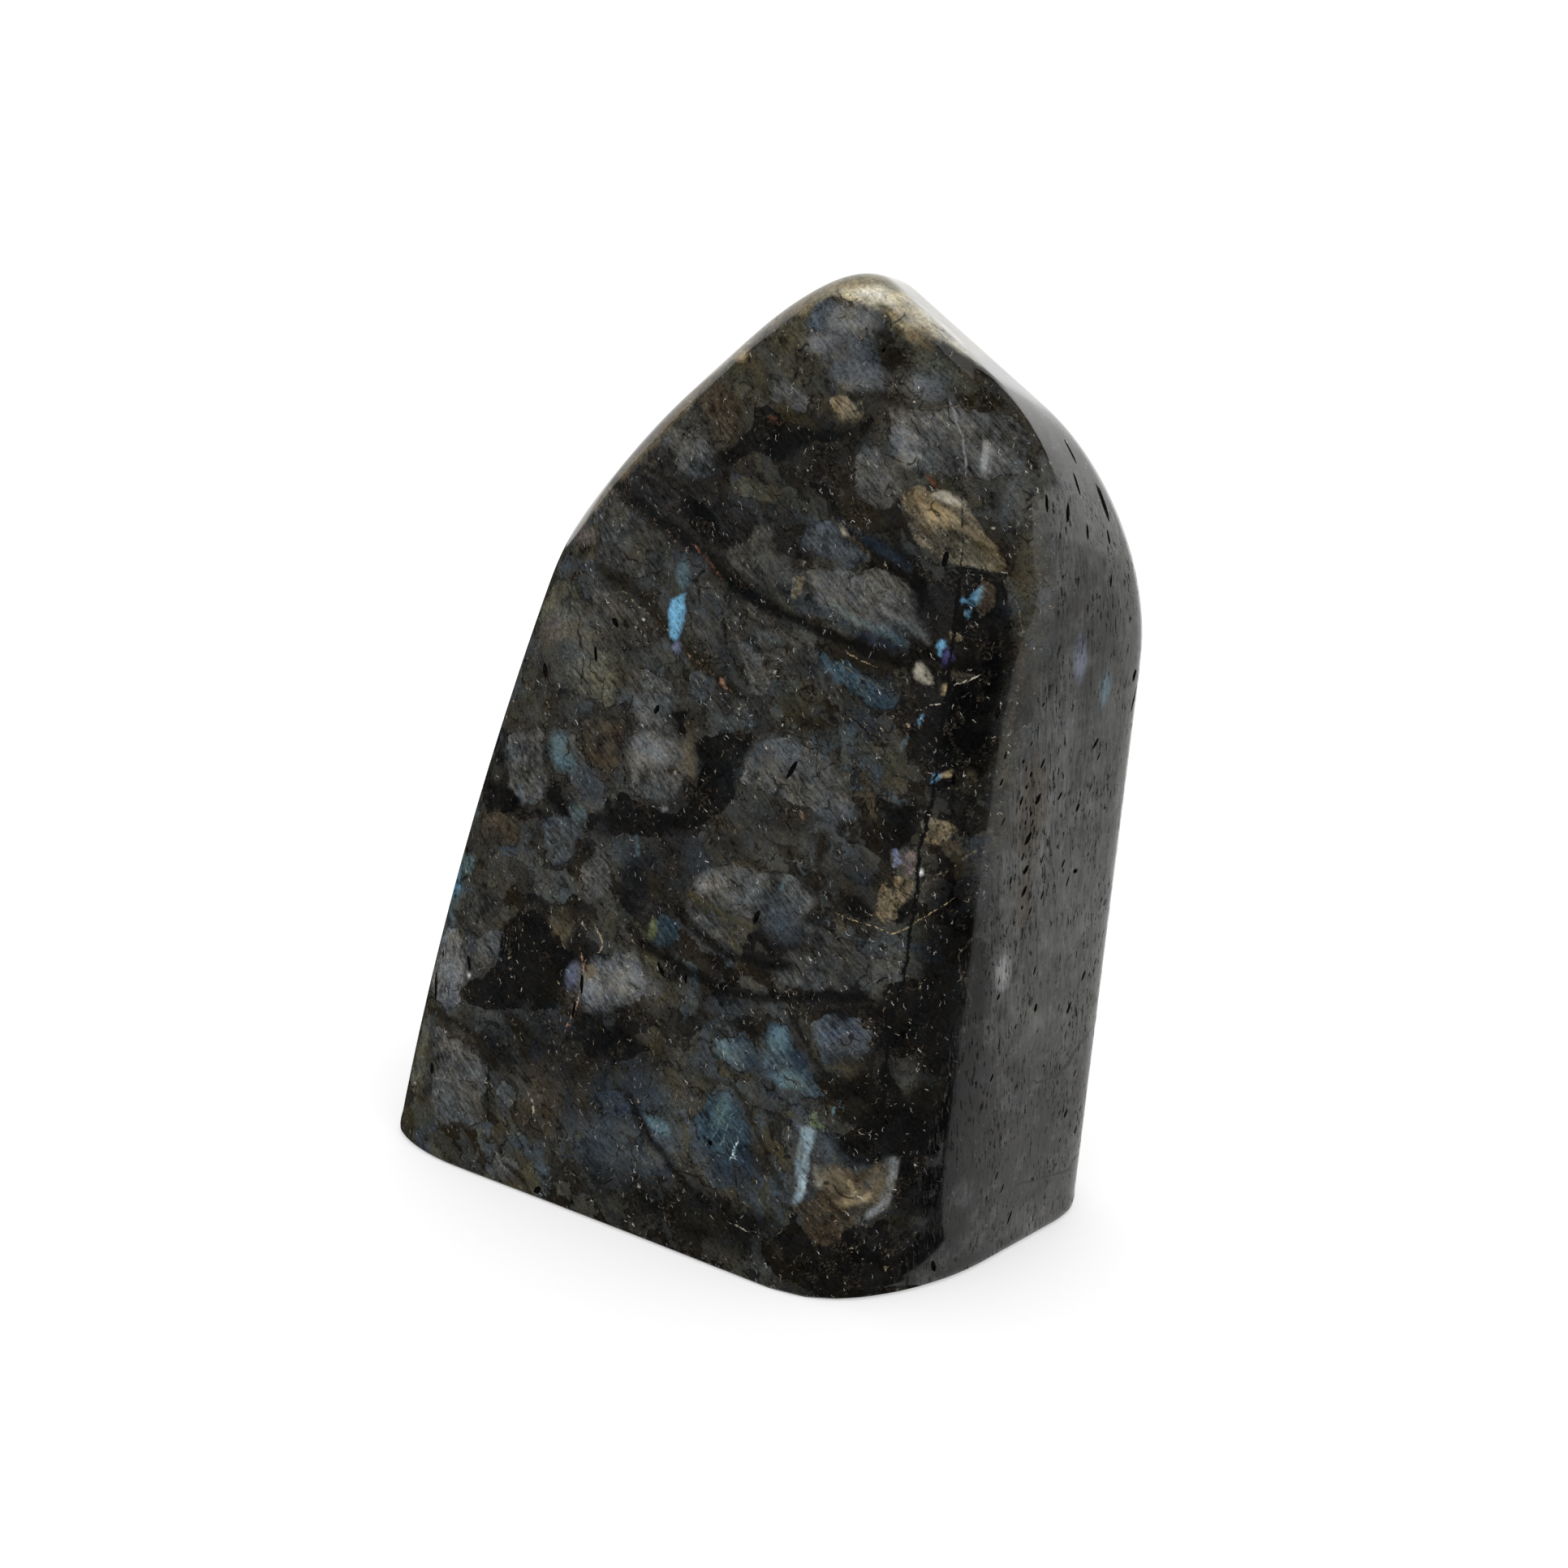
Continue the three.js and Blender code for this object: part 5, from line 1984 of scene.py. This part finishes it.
    def shards(self, colour: Wire) -> Wire:
        """Lays on the clear pieces of feldspar, hazy inside, with dark seams round them.

        Args:
            colour: The colour below.

        Returns:
            The colour with the shards on it.
        """
        depth = self.attribute("shard", "Alpha") + self.swing(2.6 * MM, 5.0, 0.62) * 3.0
        crisp = self.noise(6.0 * MM, 1.0).rise(0.52, 0.7) * 2.0 + 0.2
        haze = self.swing(5.0 * MM, 3.0, 0.5) * 2.4
        spread = haze + self.swing(1.5 * MM, 4.0, 0.65) * 1.9 + (self.streaks - 0.5) * 1.9 + 1.0
        face = self.shaded(self.attribute("shard", "Color"), spread.most(0.15))
        colour = self.mix((depth * crisp).rise(-0.2, 0.25) * 0.92, colour, face)
        patchy = self.noise(4.0 * MM, 3.0, 0.6)
        shadow = abs(depth + 0.3).rise(0.9, 0.1) * patchy.rise(0.46, 0.62)
        colour = self.mix(shadow * 0.45, colour, Tone.UMBER)
        seam = abs(depth).rise(0.15, 0.03) * patchy.rise(0.48, 0.56)
        return self.mix(seam * 0.85, colour, Tone.PITCH)

    def gaps(self, colour: Wire) -> Wire:
        """Lays on the black between the crystals, crisp in places and fading in others.

        Args:
            colour: The colour below.

        Returns:
            The colour with the gaps on it.
        """
        ragged = self.swing(2.2 * MM, 4.0) * 1.8
        broad = self.swing(5.0 * MM, 2.0) * 1.6
        crisp = self.noise(5.0 * MM, 1.0).rise(0.4, 0.62) * 3.0 + 0.2
        depth = (self.attribute("gap", "Alpha") + ragged + broad) * crisp
        dust = self.noise(0.6 * MM, 3.0, 0.7)
        black = self.mix(dust.rise(0.5, 0.75) * 0.5, Tone.PITCH, Tone.CHARCOAL)
        return self.mix(depth.rise(-0.2, 0.25) * 0.93, colour, black)

    def crystals(self, colour: Wire) -> Wire:
        """Lays on the single pale crystals with their crisp edges.

        Args:
            colour: The colour below.

        Returns:
            The colour with the crystals on it.
        """
        depth = self.attribute("crystal", "Alpha") + self.swing(1.2 * MM, 4.0, 0.65) * 1.8
        facets = self.noise(1.8 * MM, 5.0, 0.75)
        spread = (facets - 0.5) * 2.0 + (self.streaks - 0.5) * 2.0 + 0.95
        face = self.shaded(self.attribute("crystal", "Color"), spread.most(0.15))
        cover = depth.rise(-0.2, 0.3) * facets.rise(0.3, 0.5)
        return self.mix(cover * 0.92, colour, face)

    def lively(self, colour: Wire) -> Wire:
        """Gives a colour the haze, the cleavage and the faint dust of the real stone.

        Args:
            colour: The colour below.

        Returns:
            The livelier colour, with hair cracks on it.
        """
        clouds = self.noise(4.0 * MM, 5.0, 0.6)
        dust = self.swing(0.45 * MM, 3.0, 0.8) * 2.4
        spread = (clouds - 0.5) * 1.8 + dust + (self.streaks - 0.5) * 1.6
        colour = self.shaded(colour, (spread + 1.0).most(0.12))
        elsewhere = self.vector("ADD", self.place, (0.3, 0.1, 0.2))
        warmth = self.noise(5.0 * MM, 3.0, 0.65, elsewhere)
        colour = self.mix(warmth.rise(0.5, 0.62), colour, self.warm, "MULTIPLY")
        colour = self.mix(warmth.rise(0.48, 0.36), colour, self.cool, "MULTIPLY")
        hair = abs(self.swing(3.2 * MM, 4.0, 0.6)).rise(0.014, 0.004)
        return self.mix(hair * clouds.rise(0.48, 0.6) * 0.75, colour, Tone.PITCH)

    def cracks(self, colour: Wire) -> Wire:
        """Lays on the long cracks along the cleavage, with rusty dust beside them.

        Args:
            colour: The colour below.

        Returns:
            The colour with the cracks on it.
        """
        along = self.mapped(self.cleavage, self.crack_stretch)
        bend = self.noise(self.crack_warp_size, 3.0, 0.5, output="Color")
        bent = self.shifted(along, bend, self.crack_warp)
        patchy = self.noise(5.0 * MM, 3.0, 0.6)
        dust = self.noise(0.45 * MM, 3.0, 0.7)
        for size in self.crack_sizes:
            edge = self.cells(bent, size, "Distance", "DISTANCE_TO_EDGE")
            rust = edge.rise(0.12, 0.02) * dust.rise(0.46, 0.62) * patchy.rise(0.5, 0.62)
            colour = self.mix(rust * 0.8, colour, Tone.BROWN)
            crack = edge.rise(0.02, 0.005) * patchy.rise(0.5, 0.6)
            colour = self.mix(crack * 0.8, colour, Tone.PITCH)
        return colour

    def glints(self, colour: Wire) -> Wire:
        """Lays on the painted glints, flashes and sparkles of light with a few flecks of the stone's own
        colour, which fade at their edges and are cut by fine lines.

        Args:
            colour: The colour below.

        Returns:
            The colour with the glints on it.
        """
        depth = self.attribute("glint", "Alpha") + self.swing(0.8 * MM, 4.0, 0.6) * 0.9
        face = self.noise(0.9 * MM, 5.0, 0.7)
        spread = (face - 0.5) * 1.8 + (self.streaks - 0.5) * 1.6 + 0.95
        bright = self.shaded(self.attribute("glint", "Color"), spread.most(0.2))
        cut = (face * 0.5 + self.streaks * 0.5).rise(0.32, 0.46)
        return self.mix(depth.rise(-0.3, 0.6) * cut * 0.95, colour, bright)

    def chips(self) -> Wire:
        """Makes the small upright chips that the saw left in the right side.

        Returns:
            1 in a chip and 0 elsewhere.
        """
        cloudy = self.noise(6.0 * MM, 3.0, 0.65).rise(0.38, 0.56)
        upright = self.mapped(self.saw_turn, self.chip_stretch)
        return self.noise(0.4 * MM, 3.0, 0.65, upright).rise(0.57, 0.61) * cloudy

    def sawn_side(self, colour: Wire) -> Wire:
        """Lays on the plainer stone of the right side, with its upright saw lines.

        Args:
            colour: The colour below.

        Returns:
            The colour with the sawn side on it.
        """
        upright = self.mapped(self.saw_turn, self.saw_stretch)
        lines = self.noise(0.6 * MM, 5.0, 0.8, upright)
        broad = self.noise(3.5 * MM, 3.0, 0.55, upright)
        cloudy = self.noise(5.0 * MM, 5.0, 0.7)
        spread = (lines - 0.5) * 5.4 + (broad - 0.5) * 1.8 + (cloudy - 0.5) * 2.6 + 1.15
        plain = self.shaded(self.attribute("tone", "Color"), spread.most(0.05))
        colour = self.mix(self.side * 0.85, colour, plain)
        rust = lines.rise(0.56, 0.68) * cloudy.rise(0.5, 0.6)
        colour = self.mix(rust * self.side * 0.5, colour, Tone.TAN)
        colour = self.mix(cloudy.rise(0.5, 0.66) * self.side * 0.3, colour, Tone.MIST)
        # the chips are painted near black: painted shade in their small hollows
        return self.mix(self.chips() * self.side * 0.95, colour, Tone.JET)

    def veins(self, colour: Wire) -> Wire:
        """Lays on the thin veins and cracks, which come and go, and the crease's painted dark reflection
        and highlight.

        Args:
            colour: The colour below.

        Returns:
            The colour with the veins on it.
        """
        stray = self.swing(0.5 * MM, 4.0, 0.7) * 3.4
        broken = self.noise(0.8 * MM, 4.0, 0.75)
        for number in range(len(VEINS)):
            across = abs(self.attribute(f"vein_{number}", "Alpha") + stray)
            here = self.attribute(f"vein_{number}_here", "Fac")
            cover = across.rise(1.1, 0.3) * (broken + here * 0.24).rise(0.64, 0.78)
            colour = self.mix(cover, colour, self.attribute(f"vein_{number}", "Color"))
        return colour

    def specks(self, colour: Wire) -> Wire:
        """Lays on the short pale scratches, curls and platelets in the polish.

        Args:
            colour: The colour below.

        Returns:
            The colour with the specks on it.
        """
        patches = self.swing(5.0 * MM, 3.0, 0.65) * 1.2
        front = 1.0 - self.side * 0.85
        for size, chance in self.speck_sizes:
            bend = self.noise(0.6 * size, 2.0, 0.5, output="Color")
            bent = self.shifted(self.place, bend, 0.9 * size)
            centre = self.cells(bent, size, "Position")
            dice = self.beside(centre, "Color")
            away = self.vector("SUBTRACT", bent, centre)
            away = self.vector("MULTIPLY", away, (1.0 / size,) * 3)
            facing = self.vector("SUBTRACT", dice, (0.5, 0.5, 0.5))
            facing = self.vector("NORMALIZE", facing, (0.0, 0.0, 0.0))
            height = abs(self.vector("DOT_PRODUCT", away, facing, "Value"))
            reach = self.vector("LENGTH", away, (0.0, 0.0, 0.0), "Value")
            plate = height.rise(0.04, 0.012) * reach.rise(0.4, 0.24)
            luck = self.channel(dice, "Red") + patches
            plate = plate * luck.rise(chance, chance + 0.1) * front
            pale = self.mix(self.channel(dice, "Green"), Tone.GOLD, Tone.WHITE)
            colour = self.mix(plate * (0.1 + 0.7 * self.channel(dice, "Blue")), colour, pale)
        return colour

    def relief(self) -> Wire:
        """Makes the faint unevenness of the polish, stronger on the sawn side.

        Returns:
            The direction of the uneven surface.
        """
        broad = self.noise(9.0 * MM, 2.0) * 0.2
        fine = self.noise(0.5 * MM) * (0.004 + self.side * 0.03)
        height = broad + fine - self.chips() * self.side * 0.9
        values = {"Height": height, "Distance": self.relief_height, "Strength": 1.0}
        return self.node("ShaderNodeBump", "Normal", values)


def main() -> None:
    """Builds the camera, the studio and the stone, and reports each piece."""
    logging.basicConfig(level=logging.INFO, format="%(name)s: %(message)s")
    view = View()
    view.build()
    Studio().build()
    log.info("studio: built")
    stone = Stone(view).build()
    stone.data.materials.clear()
    stone.data.materials.append(Labradorite().build())
    log.info("stone: %d faces", len(stone.data.polygons))
    Pits(stone, view, PitWall().build()).build()
    Painter(view).build(stone)
    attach(stone, "root")
    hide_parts(NODE)


if __name__ == "__main__":
    main()
